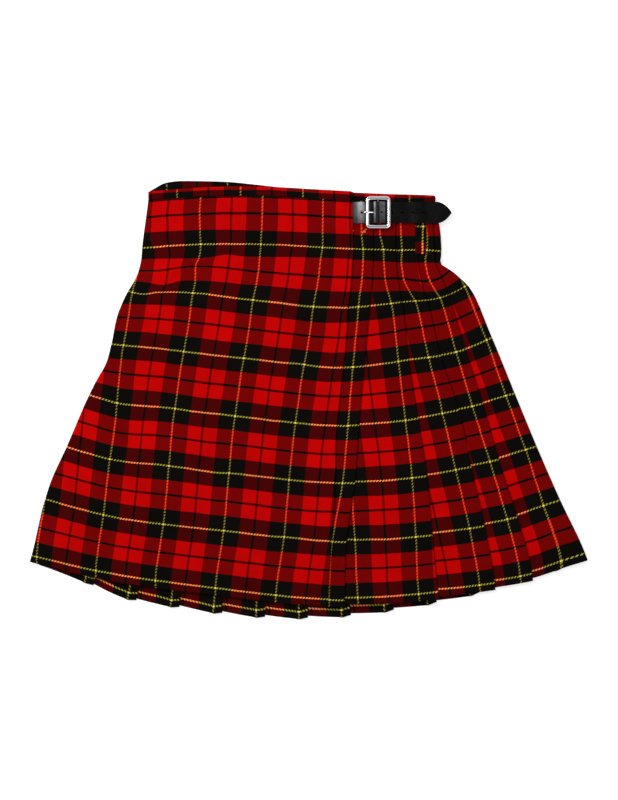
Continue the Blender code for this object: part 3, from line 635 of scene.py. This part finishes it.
# The over apron, with the yellow stripe next to its free edge as the warp's zero
overApron = {
    "columns": 96,
    "rowPitch": 5.5,
    # drop, distance from that yellow stripe to the free edge, and cloth gathered up between them
    "stripeToEdge": ((0, 34.6, 3.4), (38, 35.2, 3.4), (56, 36.0, 3.6), (82, 37.8, 3.0), (108, 39.8, 1.6),
                     (126, 41.3, 1.0), (195, 46.9, 0), (265, 49.3, 0), (335, 55, 0), (404, 57, 0),
                     (474, 63, 0)),
    "gathered": (19, 18),    # mm from the free edge to the gathers, and their width
    "edgeLift": 1.3,         # the free edge curls up a little from the pleats
    "edgeCurl": 9,
    "liftFrom": (46, 20),    # drop where that starts, and over how much it grows
    # where the cloth is pulled to the left: x, drop, reach across and down, shift
    "pulled": (
        (-205, 18, 42, 34, 4.0), (-200, 48, 36, 14, 4.8), (-136, 88, 24, 15, 3.0), (-190, 20, 60, 30, 3.2),
        (-118, 30, 40, 34, 1.4), (-58, 54, 40, 22, 1.8), (-233, 290, 24, 52, -3.9),
    ),
}


def overRing(drop):
    r = rowAt(drop)
    low = kilt["floorMid"]
    radius = (r.over - low) / 2
    centre = r.leftX + radius + kilt["half"]
    xs = [r.edgeX, r.edgeX - 0.8, *np.linspace(r.edgeX - 2.0, centre, overApron["columns"])]
    lift = overApron["edgeLift"] * rise(drop, *overApron["liftFrom"])
    points = []
    for x in xs:
        z = overZ(r, x) + lift * ease(1 - (r.edgeX - x) / overApron["edgeCurl"])
        points.append((x, frontY(r, x), z - (0.25 if x == r.edgeX else 0.0)))
    points += leftTurn(r, centre, radius, low, 9)
    # on the back: flat, up a ramp and on over the two layers of the last pleat
    rampEnd = max(r.lastX - kilt["ramp"], centre + 1.4)
    lastEdge = r.lastX + kilt["clear"]
    tailEnd = r.lastX + r.depths[-1] - kilt["half"]
    high = low + 2 * kilt["layer"]
    tail = [(mix(centre, rampEnd, t), low) for t in (0, 0.5, 1)]
    steps = np.linspace(0.2, 1, 5)
    tail += [(mix(rampEnd, lastEdge, t), mix(low, high, ease(t))) for t in steps]
    tail += [(mix(lastEdge, tailEnd, t), high) for t in steps]
    points = np.array(points + [(x, backY(r, x), z) for x, z in tail])
    length = arcs(points)
    drops, stripes, gathers = zip(*overApron["stripeToEdge"])
    gather = np.interp(drop, drops, gathers)
    u = np.interp(drop, drops, stripes) + gather - length
    u -= gather * np.array([rise(a, *overApron["gathered"]) for a in length])
    onFront = points[:, 2] > 3
    return points, u + onFront * sum(bell(points[:, 0], drop, *pull) for pull in overApron["pulled"])


overApronPiece = clothSheet("overApron", overApron["rowPitch"], overRing)
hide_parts("over_apron")
print("over apron ready")

# The under apron, flat below the over apron and a little shorter at the hem
underApron = {"columns": 44, "rowPitch": 9.0, "start": 24.0, "left": 15}


def tuckUp(r):
    return kilt["hiddenHem"] * r.down


def underRing(drop):
    r = rowAt(drop)
    right = r.fold0X - r.depths[0] - kilt["firstLead"] - kilt["clear"]
    xs = np.linspace(right, r.leftX + underApron["left"], underApron["columns"])
    points = np.array([(x, frontY(r, x) + tuckUp(r), kilt["underMid"]) for x in xs])
    return points, -underApron["start"] - arcs(points)


underApronPiece = clothSheet("underApron", underApron["rowPitch"], underRing)
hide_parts("under_apron")
print("under apron ready")

# The pleats, each folded so that a yellow stripe runs down near its edge
pleats = {
    "rowPitch": 7.4,
    # drop, and cloth from the yellow stripe to the fold's edge on folds 0 to 3
    "stripeToFold": (
        (0, 14.0, 17.6, 18.0, 7.0), (38, 13.0, 17.0, 18.0, 7.0), (56, 10.8, 13.3, 17.5, 8.0),
        (91, 11.5, 14.5, 20.0, 13.5), (126, 13.0, 12.0, 13.2, 9.6), (195, 12.4, 11.8, 13.2, 10.6),
        (265, 12.2, 14.5, 19.0, 12.2), (335, 14.0, 17.5, 18.0, 9.6), (404, 16.0, 19.0, 17.8, 11.6),
        (474, 18.0, 22.8, 17.3, 13.6),
    ),
    # and from fold 3 to the next stripe, on the face that turns round the side
    "sideStripe": ((0, 17.0), (126, 19.4), (195, 26.0), (265, 28.2), (335, 33.2), (404, 31.9), (474, 34.0)),
    "backStripeToFold": (14.4, 5.5),
    # inside the back the stripes stand further back, as on the third layer of deeper pleats
    "insideShift": -28.0,
    "insideFrom": 25,        # past the middle of the side's turn
    "blackReach": 17.6,      # the last black stripe on the front is drawn out to the side's fold
    "faceColumns": (12, 12, 9, 8, 22),
    "backColumns": 5,
    "bendAngles": (-54, -18, 18, 54),
    "rootFlat": 17,          # before the first fold's root the cloth is flat, then climbs on to it
    "rootClimb": (12, 3),
    "swayDrop": (126, 356),  # the hem's steps grow below this drop, over this much
    "swayGap": 30,           # and fade this near the side
}


def stripeOf(r, i):
    if i < 4:
        columns = list(zip(*pleats["stripeToFold"]))
        return r.folds[i] - np.interp(r.drop, columns[0], columns[i + 1])
    if i == 4:
        return r.folds[3] + np.interp(r.drop, *zip(*pleats["sideStripe"]))
    return r.folds[i] - mix(*pleats["backStripeToFold"], r.down)


def pleatPath(r, root):
    # distances along the row and inwards; the tartan's place and the hem's sway at some of them
    layer, half, clear = kilt["layer"], kilt["half"], kilt["clear"]
    bend = layer / 2
    low = r.face - kilt["underMid"]
    climb, climbed = pleats["rootClimb"]
    path = [(root - start, low) for start in (kilt["firstLead"], pleats["rootFlat"], climb)]
    for t in (0.25, 0.5, 0.75, 1.0):
        path.append((root - mix(climb, climbed, t), mix(low, dipAt(r, 0, root - climbed), ease(t))))
    pins = {0: path[0][0] - stripeOf(r, 0)}
    sways = {0: 0.0}
    start = root - 1

    def foldRound(at, side, depth):
        for angle in np.radians(pleats["bendAngles"]):
            path.append((at + side * bend * cos(angle), depth + bend + bend * sin(angle)))

    for i, fold in enumerate(r.folds):
        number = i + 1 if i else 0
        zero = kilt["sett"] * number - stripeOf(r, i)
        if i:
            before = r.folds[i - 1]
            begin = before - r.depths[i - 1] + half + bend
            for a in np.linspace(begin, before - clear, 4)[1:]:
                path.append((a, dipAt(r, i - 1, a) + 2 * layer))
            pins[len(path) - 1] = zero + before - clear
            sways[len(path) - 1] = 1 if before < r.turn / 2 else -1
            start = before + kilt["ramp"]
            for t in (0.2, 0.4, 0.6, 0.8):
                path.append((mix(before - clear, start, t), mix(2 * layer, dipAt(r, i, start), ease(t))))
        end = fold - half - bend
        steps = np.linspace(start, end, (*pleats["faceColumns"], pleats["backColumns"])[min(i, 5)])
        if i == 4:
            steps = sideSteps(r, start, end, pleats["faceColumns"][4])
            nearest = steps[np.argmin(np.abs(steps - stripeOf(r, 4)))]
        for a in steps:
            if i == 4 and a == nearest:
                pins[len(path)] = zero + a
            if i == 4 and a > r.turn / 2 > path[-1][0]:
                past = min(path[-1][0] - stripeOf(r, 4), pleats["blackReach"])
                pins[len(path) - 1] = kilt["sett"] * number + past
            path.append((a, dipAt(r, i, a)))
        last = i == kilt["pleats"] - 1
        pins[len(path) - 1] = zero + end
        sways[len(path) - 1] = 0.0 if last else -1 if fold < r.turn / 2 else 1
        foldRound(end, 1, dipAt(r, i, end))
        finish = fold - r.depths[i] + half + bend
        for a in np.linspace(end, finish, 4):
            path.append((a, dipAt(r, i, a) + layer))
        if not last:
            deeper = dipAt(r, i, finish) + layer
            foldRound(finish, -1, deeper)
            path.append((finish, deeper + layer))
    return np.array(path), pins, sways


def pleatRing(drop):
    r = rowAt(drop)
    root = r.folds[0] - r.depths[0]
    path, pins, sways = pleatPath(r, root)
    along = path[:, 0]
    middle = r.turn / 2
    flat = np.array([placeOn(r, a, inward) for a, inward in path])
    ys = np.array([frontY(r, x) if a < middle else backY(r, x) for a, x in zip(along, flat[:, 0])])
    points = np.column_stack([flat[:, 0], ys, flat[:, 1]])
    length = arcs(points)
    u, sway = [np.interp(length, length[list(keys)], list(keys.values())) for keys in (pins, sways)]
    fade = np.array([1 - ease(1 - abs(a - middle) / pleats["swayGap"]) for a in along])
    height = np.where(along < middle, *kilt["hemStep"])
    points[:, 1] += height * sway * fade * rise(drop, *pleats["swayDrop"])
    points[along < root - 5, 1] += tuckUp(r)
    return points, u, np.where(along > middle + pleats["insideFrom"], pleats["insideShift"], 0.0)


def sideSteps(r, start, end, count):
    # closer together where the face turns round the side
    fine = np.linspace(start, end, 300)
    weights = fine + 5 * np.clip(fine, 0, r.turn)
    return np.interp(np.linspace(weights[0], weights[-1], count), weights, fine)


pleatsPiece = clothSheet("pleatedCloth", pleats["rowPitch"], pleatRing)
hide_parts("pleats")
print("pleats ready")

# The waistband: one strip folded over the top edge of all the cloth
waistband = {
    "low": -0.5,
    "high": ((-184, 9.5), (-126, 10.0), (-97, 10.4), (51, 10.5), (53, 9.0)),       # from left to right
    "single": 2.0,           # thickness over one layer
    "overPleats": 4.0,
    "strip": 0.9,
    # place in the tartan of the band's lower edge and how it runs on up and over: front, back, right
    "weftPlace": ((10.0, 1.0), (18.6, -0.85), (11.4, 1.0)),
    # numbers of the places on the front, the back and the right, and where it turns between them
    "stretches": ((0, 56), (62, 124), (130, None)),
    "turns": (55, 63, 123, 131),
    # the yellow stripes round the band: x, stretch, place in the tartan
    "stripes": ((51, 0, -57.2), (-8.4, 0, 0.0), (-82.8, 0, 72.8), (-159.6, 0, 145.6),
                (-170.4, 1, 218.4), (-97.2, 1, 291.2), (120.0, 2, 582.4), (-170.0, 2, 873.0)),
    # heights on either side of the strip, below its folded edge
    "rows": (0.0, 0.4, 2.4, 4.8, 7.0),
}


def bandPath():
    # x, y and height of the strip's middle line, and half its thickness there
    r = rowAt(0)
    single, thick = waistband["single"] / 2, waistband["overPleats"] / 2
    half = kilt["half"]
    root = r.fold0X - r.depths[0]
    radius = (r.over - half) / 2
    centre = r.leftX + radius + single
    xs = [*np.linspace(r.edgeX, root - 20, 24), *np.linspace(root - 20, centre, 30)[1:]]
    path = [(x, frontY(r, x), overZ(r, x) - half + single, single) for x in xs]
    path += [(*place, single) for place in leftTurn(r, centre, radius, single, 7)]
    path.append((centre, backY(r, centre), single, single))
    front = kilt["underMid"] - half
    radius = front / 2
    right = r.sideX - radius - thick
    path += [(x, backY(r, x), thick, thick) for x in np.linspace(centre + 12, right, 60)]
    for angle in turnAngles(7):
        x = right + radius * sin(angle)
        path.append((x, backY(r, x), thick + radius - radius * cos(angle), thick))
    path += [(x, frontY(r, x), front + thick, thick) for x in np.linspace(right, root - 4, 26)]
    left = r.leftX + underApron["left"]
    path += [(x, frontY(r, x), front + single, single) for x in np.linspace(root - 16, left, 26)]
    return np.array(path)


def unit(vectors):
    return vectors / np.linalg.norm(vectors, axis=1)[:, None]


def stripesAlong(path):
    # where each place along the band is in the order of the warp's stripes
    length = arcs(path)
    keys = []
    for x, stretch, u in waistband["stripes"]:
        part = slice(*waistband["stretches"][stretch])
        nearest = np.argmin(np.abs(path[part, 0] - x)) + part.start
        past = path[nearest, 0] - x
        keys.append((length[nearest] + (-past if stretch == 1 else past), u))
    return np.interp(length, *zip(*sorted(keys)))


def buildWaistband():
    w = waistband
    path = bandPath()
    runs = unit(np.diff(path[:, [0, 2]], axis=0))
    across = np.column_stack([-runs[:, 1], runs[:, 0]])
    normals = unit(np.vstack([across[:1], across]) + np.vstack([across, across[-1:]]))
    stripes = stripesAlong(path)
    # up one side, over the top in a half round and down the other side
    profile = [(y, 1.0, 0.0) for y in w["rows"]]
    profile += [(None, cos(a), sin(a)) for a in np.radians((0, 30, 60, 90, 120, 150, 180))]
    profile += [(y, -1.0, 0.0) for y in reversed(w["rows"])]
    rings = []
    for y, outward, rise in profile:
        ring = []
        for (x, rowY, z, thick), normal, stripe in zip(path, normals, stripes):
            reach = thick - w["strip"] / 2
            crown = np.interp(x, *zip(*w["high"])) - w["low"] - w["strip"] / 2 - reach
            place = crown + reach * rise if y is None else min(y, crown)
            ring.append((x + normal[0] * reach * outward, rowY + w["low"] + place,
                         max(z + normal[1] * reach * outward, w["strip"] / 2), stripe, 0.0))
        rings.append(ring)
    rings = np.array(rings)
    down = arcs(rings[:, 0])
    stretchAt = np.interp(np.arange(len(path)), w["turns"], (0, 1, 1, 2))
    lower, run = [np.interp(stretchAt, (0, 1, 2), values) for values in zip(*w["weftPlace"])]
    rings[:, :, 4] = lower + (down[-1] - down)[:, None] * run
    piece = gridSheet("waistbandCloth", rings, w["strip"])
    piece.modifiers["wall"].use_even_offset = False
    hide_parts("waistband")
    return piece


waistbandPiece = buildWaistband()
print("waistband ready")

# The belt loop: a narrow strip cut across the cloth, so that its yellow line is the weft's,
# folded to the middle behind and sewn flat at both ends
beltLoop = {
    "x": 134.0, "width": 13.0, "top": 229.5, "bottom": 174.5, "low": 8.6, "thick": 1.6, "strip": 0.7,
    # where a yellow stripe of the weft and one of the warp cross on it
    "stripeX": 137.2, "stripeY": 206.6,
    "bow": 0.25, "sway": 0.35,
}


def buildBeltLoop():
    b = beltLoop
    reach = b["thick"] / 2 - b["strip"] / 2
    side = b["width"] / 2 - b["strip"] / 2 - reach
    profile = [(x, 0) for x in np.linspace(-0.3, side, 5)]
    profile += [(side + reach * sin(a), reach - reach * cos(a)) for a in turnAngles(3)]
    profile += [(x, 2 * reach) for x in np.linspace(side, -side, 11)]
    profile += [(-side - reach * sin(a), reach + reach * cos(a)) for a in turnAngles(3)]
    profile += [(x, 0) for x in np.linspace(-side, -0.9, 5)]
    rings = []
    for y in (b["top"], *np.linspace(b["top"] - 0.5, b["bottom"] + 0.5, 26), b["bottom"]):
        low = b["low"] + b["strip"] / 2
        low += b["bow"] * sin(pi * (b["top"] - y) / (b["top"] - b["bottom"]))
        middle = b["x"] + b["sway"] * sin((y - 200) / 17)
        u = b["stripeY"] - y
        rings.append([(middle + x, y, low + z, u, b["x"] + x - b["stripeX"]) for x, z in profile])
    piece = gridSheet("beltLoopCloth", rings, b["strip"])
    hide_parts("belt_loop")
    return piece


beltLoopPiece = buildBeltLoop()
print("belt loop ready")

# Hand sewing: where the strap's root is backstitched through the apron, along the waistband,
# at the belt loop's end, and two knotted thread ends below the strap
sewing = {
    "radius": 0.32,
    # x, y at both ends of a row of stitches, their length and pitch
    "runs": (
        (43.4, 238.0, 43.8, 208.5, 2.0, 2.7),
        (47.3, 237.5, 47.7, 208.5, 2.0, 2.7),
        (129.0, 177.0, 139.0, 177.0, 1.8, 2.6),
    ),
    # x from and to, pitch; below the seam, over the cloth, length, turn in degrees
    "band": (-184, 50, 5.2),
    "bandStitch": (0.9, 0.7, 2.0, 70),
    "knotLength": 1.35,
    # x, y, length, turn in degrees, lift
    "knots": (
        (65.2, 201.2, 3.6, 38, 0.5), (67.0, 202.6, 3.0, 62, 0.8), (66.4, 200.6, 2.6, -30, 0.6),
        (68.2, 203.8, 2.2, 15, 0.4), (64.6, 200.0, 2.4, 80, 0.4), (67.4, 201.3, 2.4, 100, 0.9),
        (52.9, 202.2, 1.6, 20, 1.0), (53.3, 203.0, 1.4, 80, 0.8),
    ),
}


def makeThread(name, colour):
    # spun polyester, two-ply: dull with a little sheen
    dark = [0.55 * c for c in linear(colour)[:3]] + [1.0]
    return cloudyMaterial(name, 0.7, 0.2, colour, dark, 1500.0)[0]


def clothTop(x, y):
    # height of the front's upper face, by finding the row that runs through the place
    low, high = 0.0, kilt["drop"]
    for _ in range(24):
        drop = (low + high) / 2
        if frontY(rowAt(drop), x) > y:
            low = drop
        else:
            high = drop
    r = rowAt(low)
    if x < r.edgeX:
        return overZ(r, x) + kilt["cloth"] / 2
    return r.face - dipAt(r, 0, x - r.centre) + kilt["cloth"] / 2


def addStitch(bm, x, y, z, length, turn, girth=1.0):
    made = bmesh.ops.create_uvsphere(bm, u_segments=8, v_segments=6, radius=1.0)["verts"]
    for vert in made:
        across, up, along = vert.co
        along *= length / 2
        across *= sewing["radius"] * girth
        vert.co = (x + along * cos(turn) - across * sin(turn),
                   y + along * sin(turn) + across * cos(turn), z + up * sewing["radius"] * girth)


def buildSewing():
    bm = bmesh.new()
    for x0, y0, x1, y1, length, pitch in sewing["runs"]:
        turn = atan2(y1 - y0, x1 - x0)
        for t in np.linspace(0, 1, round(hypot(x1 - x0, y1 - y0) / pitch) + 1):
            x, y = mix(x0, x1, t), mix(y0, y1, t)
            z = clothTop(x, y) if x < 100 else beltLoop["low"] + beltLoop["thick"]
            addStitch(bm, x, y, z + 0.05, length, turn)
    waist = rowAt(0)
    below, over, length, turn = sewing["bandStitch"]
    for x in np.arange(*sewing["band"]):
        addStitch(bm, x, frontY(waist, x) - below, overZ(waist, x) + over, length, radians(turn))
    makePiece("sewingThread", bm, makeThread("darkRedThread", "#4a0608"), "tartan_cloth")
    bm = bmesh.new()
    for x, y, length, turn, lift in sewing["knots"]:
        reach = sewing["knotLength"] * length
        addStitch(bm, x, y, clothTop(x, y) + lift, reach, radians(turn), 2.0)
    makePiece("threadKnots", bm, makeThread("orangeThread", "#f27a1e"), "tartan_cloth")


buildSewing()
print("sewing ready")

# The strap: black bridle leather, its edges painted, punched with seven holes
strap = {
    "barX": 82.8, "y": 224.0, "width": 25.4, "thick": 2.0,     # an inch wide
    "root": -49.2, "shoulder": 71.4, "tip": 88.2,
    # distance from the bar, height of the leather's middle
    "bends": ((-50.0, 9.6), (-29.0, 9.6), (-24.0, 9.9), (-16.0, 10.8), (-13.2, 10.9), (-10.6, 11.1),
              (-6.5, 13.2), (-3.3, 15.3),
              (0.0, 15.75), (3.3, 15.3), (6.5, 13.2), (9.6, 11.0), (12.0, 10.9), (24.0, 10.9), (29.0, 10.9),
              (38.0, 11.1), (46.0, 11.5), (58.5, 11.5), (66.0, 10.7), (76.0, 9.5), (90.0, 8.6)),
    # centre of each hole along the strap, its length and width
    "prongHole": -7.3,
    "holes": ((-19.5, 2.8, 2.8), (-7.3, 5.0, 2.6), (4.2, 2.6, 2.6), (16.5, 3.4, 2.0), (29.0, 4.2, 1.5),
              (41.4, 4.2, 1.5), (54.0, 4.2, 1.5)),
    # painted highlight along 45 mm of the strap at the buckle, where the leather bends up to the bar, crests
    # over it and bends down
    "paintedHighlight": ((0.0, 0.04), (0.09, 0.15), (0.16, 0.3), (0.21, 0.8), (0.28, 1.0), (0.34, 0.6), (0.40, 0.04),
              (0.60, 0.0), (0.635, 0.9), (0.67, 0.01), (0.74, 0.02), (0.81, 0.4), (0.89, 0.45), (0.93, 0.0)),
}


def makeLeather():
    # vegetable tanned, dyed black and waxed: a low broad shine over a fine pressed grain
    material, tree, shader, clouds = cloudyMaterial(
        "bridleLeather", 0.25, 0.1, "#060506", "#0c0b0c", 120.0, Detail=4.0)
    dyed = shader.inputs["Base Color"].links[0].from_socket
    # painted highlight: the colour lifts to grey where the strap bends up to the bar and down again, stronger
    # towards its upper side and broken up by the leather's clouds
    place = objectPlace(tree)
    along = spread(tree, axis(tree, place, "X"), 0.05, 0.095, 0.0, 1.0)
    highlightUpward = spread(tree, axis(tree, place, "Y"), 0.212, 0.234, 0.3, 1.25)
    highlightAmount = maths(tree, "MULTIPLY", levelRamp(tree, along, strap["paintedHighlight"]), highlightUpward)
    paintedHighlight = blend(tree, maths(tree, "MULTIPLY", highlightAmount, clouds), dyed, "#c9c9d0")
    # grain cells about 0.7 mm across, twice the real size so that they show
    inputs = {"Vector": place, "Scale": 1400.0}
    cells = addNode(tree, "ShaderNodeTexVoronoi", inputs, feature="DISTANCE_TO_EDGE").outputs["Distance"]
    grain = bumps(tree, cells, 0.35, 0.0001)
    gloss = spread(tree, clouds, 0.3, 0.7, 0.19, 0.28)
    connect(tree, shader, {"Base Color": paintedHighlight, "Roughness": gloss, "Normal": grain})
    return material


def makeChrome():
    # die-cast brass, plated and polished: near mirror, with fine wiping scratches
    material, tree, shader, haze = cloudyMaterial(
        "chromedBrass", 0.1, 0.5, "#dcdddf", "#f2f2f2", 260.0, {"Metallic": 1.0}, Detail=5.0)
    connect(tree, shader, {"Roughness": spread(tree, haze, 0.3, 0.7, 0.05, 0.11)})
    return material


leather = makeLeather()
chrome = makeChrome()


def frozen(piece):
    graph = bpy.context.evaluated_depsgraph_get()
    graph.update()
    mesh = bpy.data.meshes.new_from_object(piece.evaluated_get(graph))
    bm = bmesh.new()
    bm.from_mesh(mesh)
    bpy.data.objects.remove(piece)
    bpy.data.meshes.remove(mesh)
    return bm


def rod(bm, radius, length, segments):
    return bmesh.ops.create_cone(bm, cap_ends=True, segments=segments, radius1=radius, radius2=radius,
                                 depth=length)["verts"]


def atBar(along, across, height):
    return strap["barX"] + along, strap["y"] + across, height


def strapHeight(along):
    return smoothCurve(*zip(*strap["bends"]), along)


def buildStrap():
    s = strap
    bm = gridMesh(110, 16)[0]
    for vert in bm.verts:
        # straight sides, then a pointed round tip
        along = mix(s["root"], s["tip"], (vert.co.x + 1) / 2)
        point = min(max((along - s["shoulder"]) / (s["tip"] - s["shoulder"]), 0.0), 0.999)
        vert.co = (along, s["width"] / 2 * vert.co.y * (1 - point**1.8) ** 0.85, 0.0)
    bmesh.ops.solidify(bm, geom=bm.faces[:], thickness=s["thick"])
    middle = sum(v.co.z for v in bm.verts) / len(bm.verts)
    bmesh.ops.translate(bm, vec=(0, 0, -middle), verts=bm.verts)
    bmesh.ops.recalc_face_normals(bm, faces=bm.faces)
    body = addMesh("strapBlank", bm)
    punches = bmesh.new()
    for along, length, width in s["holes"]:
        shift = (length - width) / 2
        for vert in rod(punches, width / 2, 9.0, 28):
            vert.co.x += along + (shift if vert.co.x > 0 else -shift)
    cutter = addMesh("punches", punches)
    cut = body.modifiers.new("cut", "BOOLEAN")
    cut.operation = "DIFFERENCE"
    cut.object = cutter
    cut.solver = "EXACT"
    bm = frozen(body)
    bpy.data.objects.remove(cutter)
    rim = [e for e in bm.edges if len(e.link_faces) == 2 and e.calc_face_angle(0) > 0.9]
    bmesh.ops.bevel(bm, geom=rim, offset=0.35, offset_type="OFFSET", segments=2, profile=0.5,
                    affect="EDGES", clamp_overlap=True, material=-1)
    for vert in bm.verts:
        vert.co += Vector(atBar(0, 0, strapHeight(vert.co.x)))
    piece = makePiece("strapLeather", bm, leather, "strap_leather")
    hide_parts("strap")
    piece.modifiers.new("shading", "WEIGHTED_NORMAL")


buildStrap()


def buildHoleShade():
    # painted shade: dark discs inside the free holes, standing in for the shade under the strap
    bm = bmesh.new()
    low = 0.3 - strap["thick"] / 2
    for along, length, width in strap["holes"]:
        if along != strap["prongHole"]:
            disc = bmesh.ops.create_circle(bm, cap_ends=True, segments=20, radius=0.5)["verts"]
            for vert in disc:
                x, y = vert.co.xy
                vert.co = atBar(along + x * (length + 0.5), y * (width + 0.5), low + strapHeight(along))
    holeShade = cloudyMaterial("paintedHoleShade", 0.95, 0.05, "#020202", "#080707", 900.0)[0]
    makePiece("holeShadeDiscs", bm, holeShade, "strap_leather")


buildHoleShade()
print("strap ready")

# The buckle: a flat rounded frame with a centre bar, and a prong
buckle = {
    "length": 29.9, "width": 38.5, "rim": 4.3, "thick": 2.6, "corner": 4.2, "z": 13.5,
    "barZ": 11.9, "barRadius": 1.15,
    # the rim's section: narrow flat top between two wide shallow shoulders
    "section": ((-1.0, -0.35), (-0.72, -1.0), (0.72, -1.0), (1.0, -0.35), (1.0, 0.25), (0.9, 0.6),
                (0.32, 0.98), (-0.32, 0.98), (-0.9, 0.6), (-1.0, 0.25)),
    # the prong's middle line from the bar: distance, height and taper
    "prong": ((-1.8, 12.2, 1.0), (-4.4, 12.9, 1.0), (-7.0, 13.9, 1.0), (-9.6, 15.0, 1.0),
              (-12.0, 15.9, 0.96), (-15.0, 16.3, 0.88), (-18.0, 16.0, 0.62)),
    "prongWidth": 2.3, "prongThick": 1.8,
    # the section of the prong's collar: distance out from the bar's side, and along the bar
    "collar": ((0.3, -1.9), (0.9, -1.9), (1.2, -1.6), (1.2, 1.6), (0.9, 1.9), (0.3, 1.9)),
}


def cleanUp(bm):
    bmesh.ops.remove_doubles(bm, verts=bm.verts, dist=0.0005)
    bmesh.ops.holes_fill(bm, edges=[e for e in bm.edges if e.is_boundary], sides=0)
    bmesh.ops.recalc_face_normals(bm, faces=bm.faces)


def buildFrame():
    b = buckle
    long, wide = [(b[side] - b["rim"]) / 2 for side in ("length", "width")]
    corner = b["corner"] - b["rim"] / 4
    middles = []
    for k, (sx, sy) in enumerate(((1, 1), (-1, 1), (-1, -1), (1, -1))):
        for angle in np.radians(np.linspace(90 * k, 90 * k + 90, 9)):
            nx, ny = cos(angle), sin(angle)
            middles.append((sx * (long - corner) + corner * nx, sy * (wide - corner) + corner * ny, nx, ny))
    columns, rows = len(middles), len(b["section"])
    bm, places = gridMesh(columns, rows)
    for vert, (column, row) in places.items():
        x, y, nx, ny = middles[column % columns]
        out, up = b["section"][row % rows]
        out *= b["rim"] / 2
        vert.co = atBar(x + nx * out, y + ny * out, b["z"] + up * b["thick"] / 2)
    cleanUp(bm)
    for vert in rod(bm, b["barRadius"], b["width"] - b["rim"], 24):
        x, y, z = vert.co
        vert.co = atBar(x, z, b["barZ"] - y)
    piece = makePiece("buckleFrameChrome", bm, chrome, "buckle_metal")
    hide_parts("buckle_frame")
    rounding = piece.modifiers.new("rounding", "SUBSURF")
    rounding.levels = 1
    rounding.render_levels = 1


def buildProng():
    b = buckle
    path, sides = b["prong"], 16
    steps = len(path) - 1
    bm, places = gridMesh(steps, sides)
    for vert, (k, side) in places.items():
        angle = 2 * pi * (side % sides) / sides
        x, z, taper = path[k]
        ahead, behind = path[min(k + 1, steps)], path[max(k - 1, 0)]
        run = Vector((ahead[0] - behind[0], ahead[1] - behind[1])).normalized()
        up = b["prongThick"] / 2 * taper * sin(angle)
        across = b["prongWidth"] / 2 * taper * cos(angle)
        vert.co = atBar(x - run.y * up, across, z + run.x * up)
    cleanUp(bm)
    # the collar is a ring round the bar
    made = bmesh.ops.create_circle(bm, segments=len(b["collar"]), radius=1.0)["verts"]
    for vert, (out, along) in zip(made, b["collar"]):
        vert.co = atBar(b["barRadius"] + out, along, b["barZ"])
    edges = list({e for v in made for e in v.link_edges})
    bmesh.ops.spin(bm, geom=made + edges, cent=atBar(0, 0, b["barZ"]), axis=(0, 1, 0), angle=2 * pi,
                   steps=28, use_merge=True)
    bmesh.ops.recalc_face_normals(bm, faces=bm.faces)
    piece = makePiece("buckleProngChrome", bm, chrome, "buckle_metal")
    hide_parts("buckle_prong")


buildFrame()
buildProng()
for slot in bpy.data.objects["buckle_tab"].material_slots:
    slot.material = leather
print("buckle ready")

print("kilt finished")
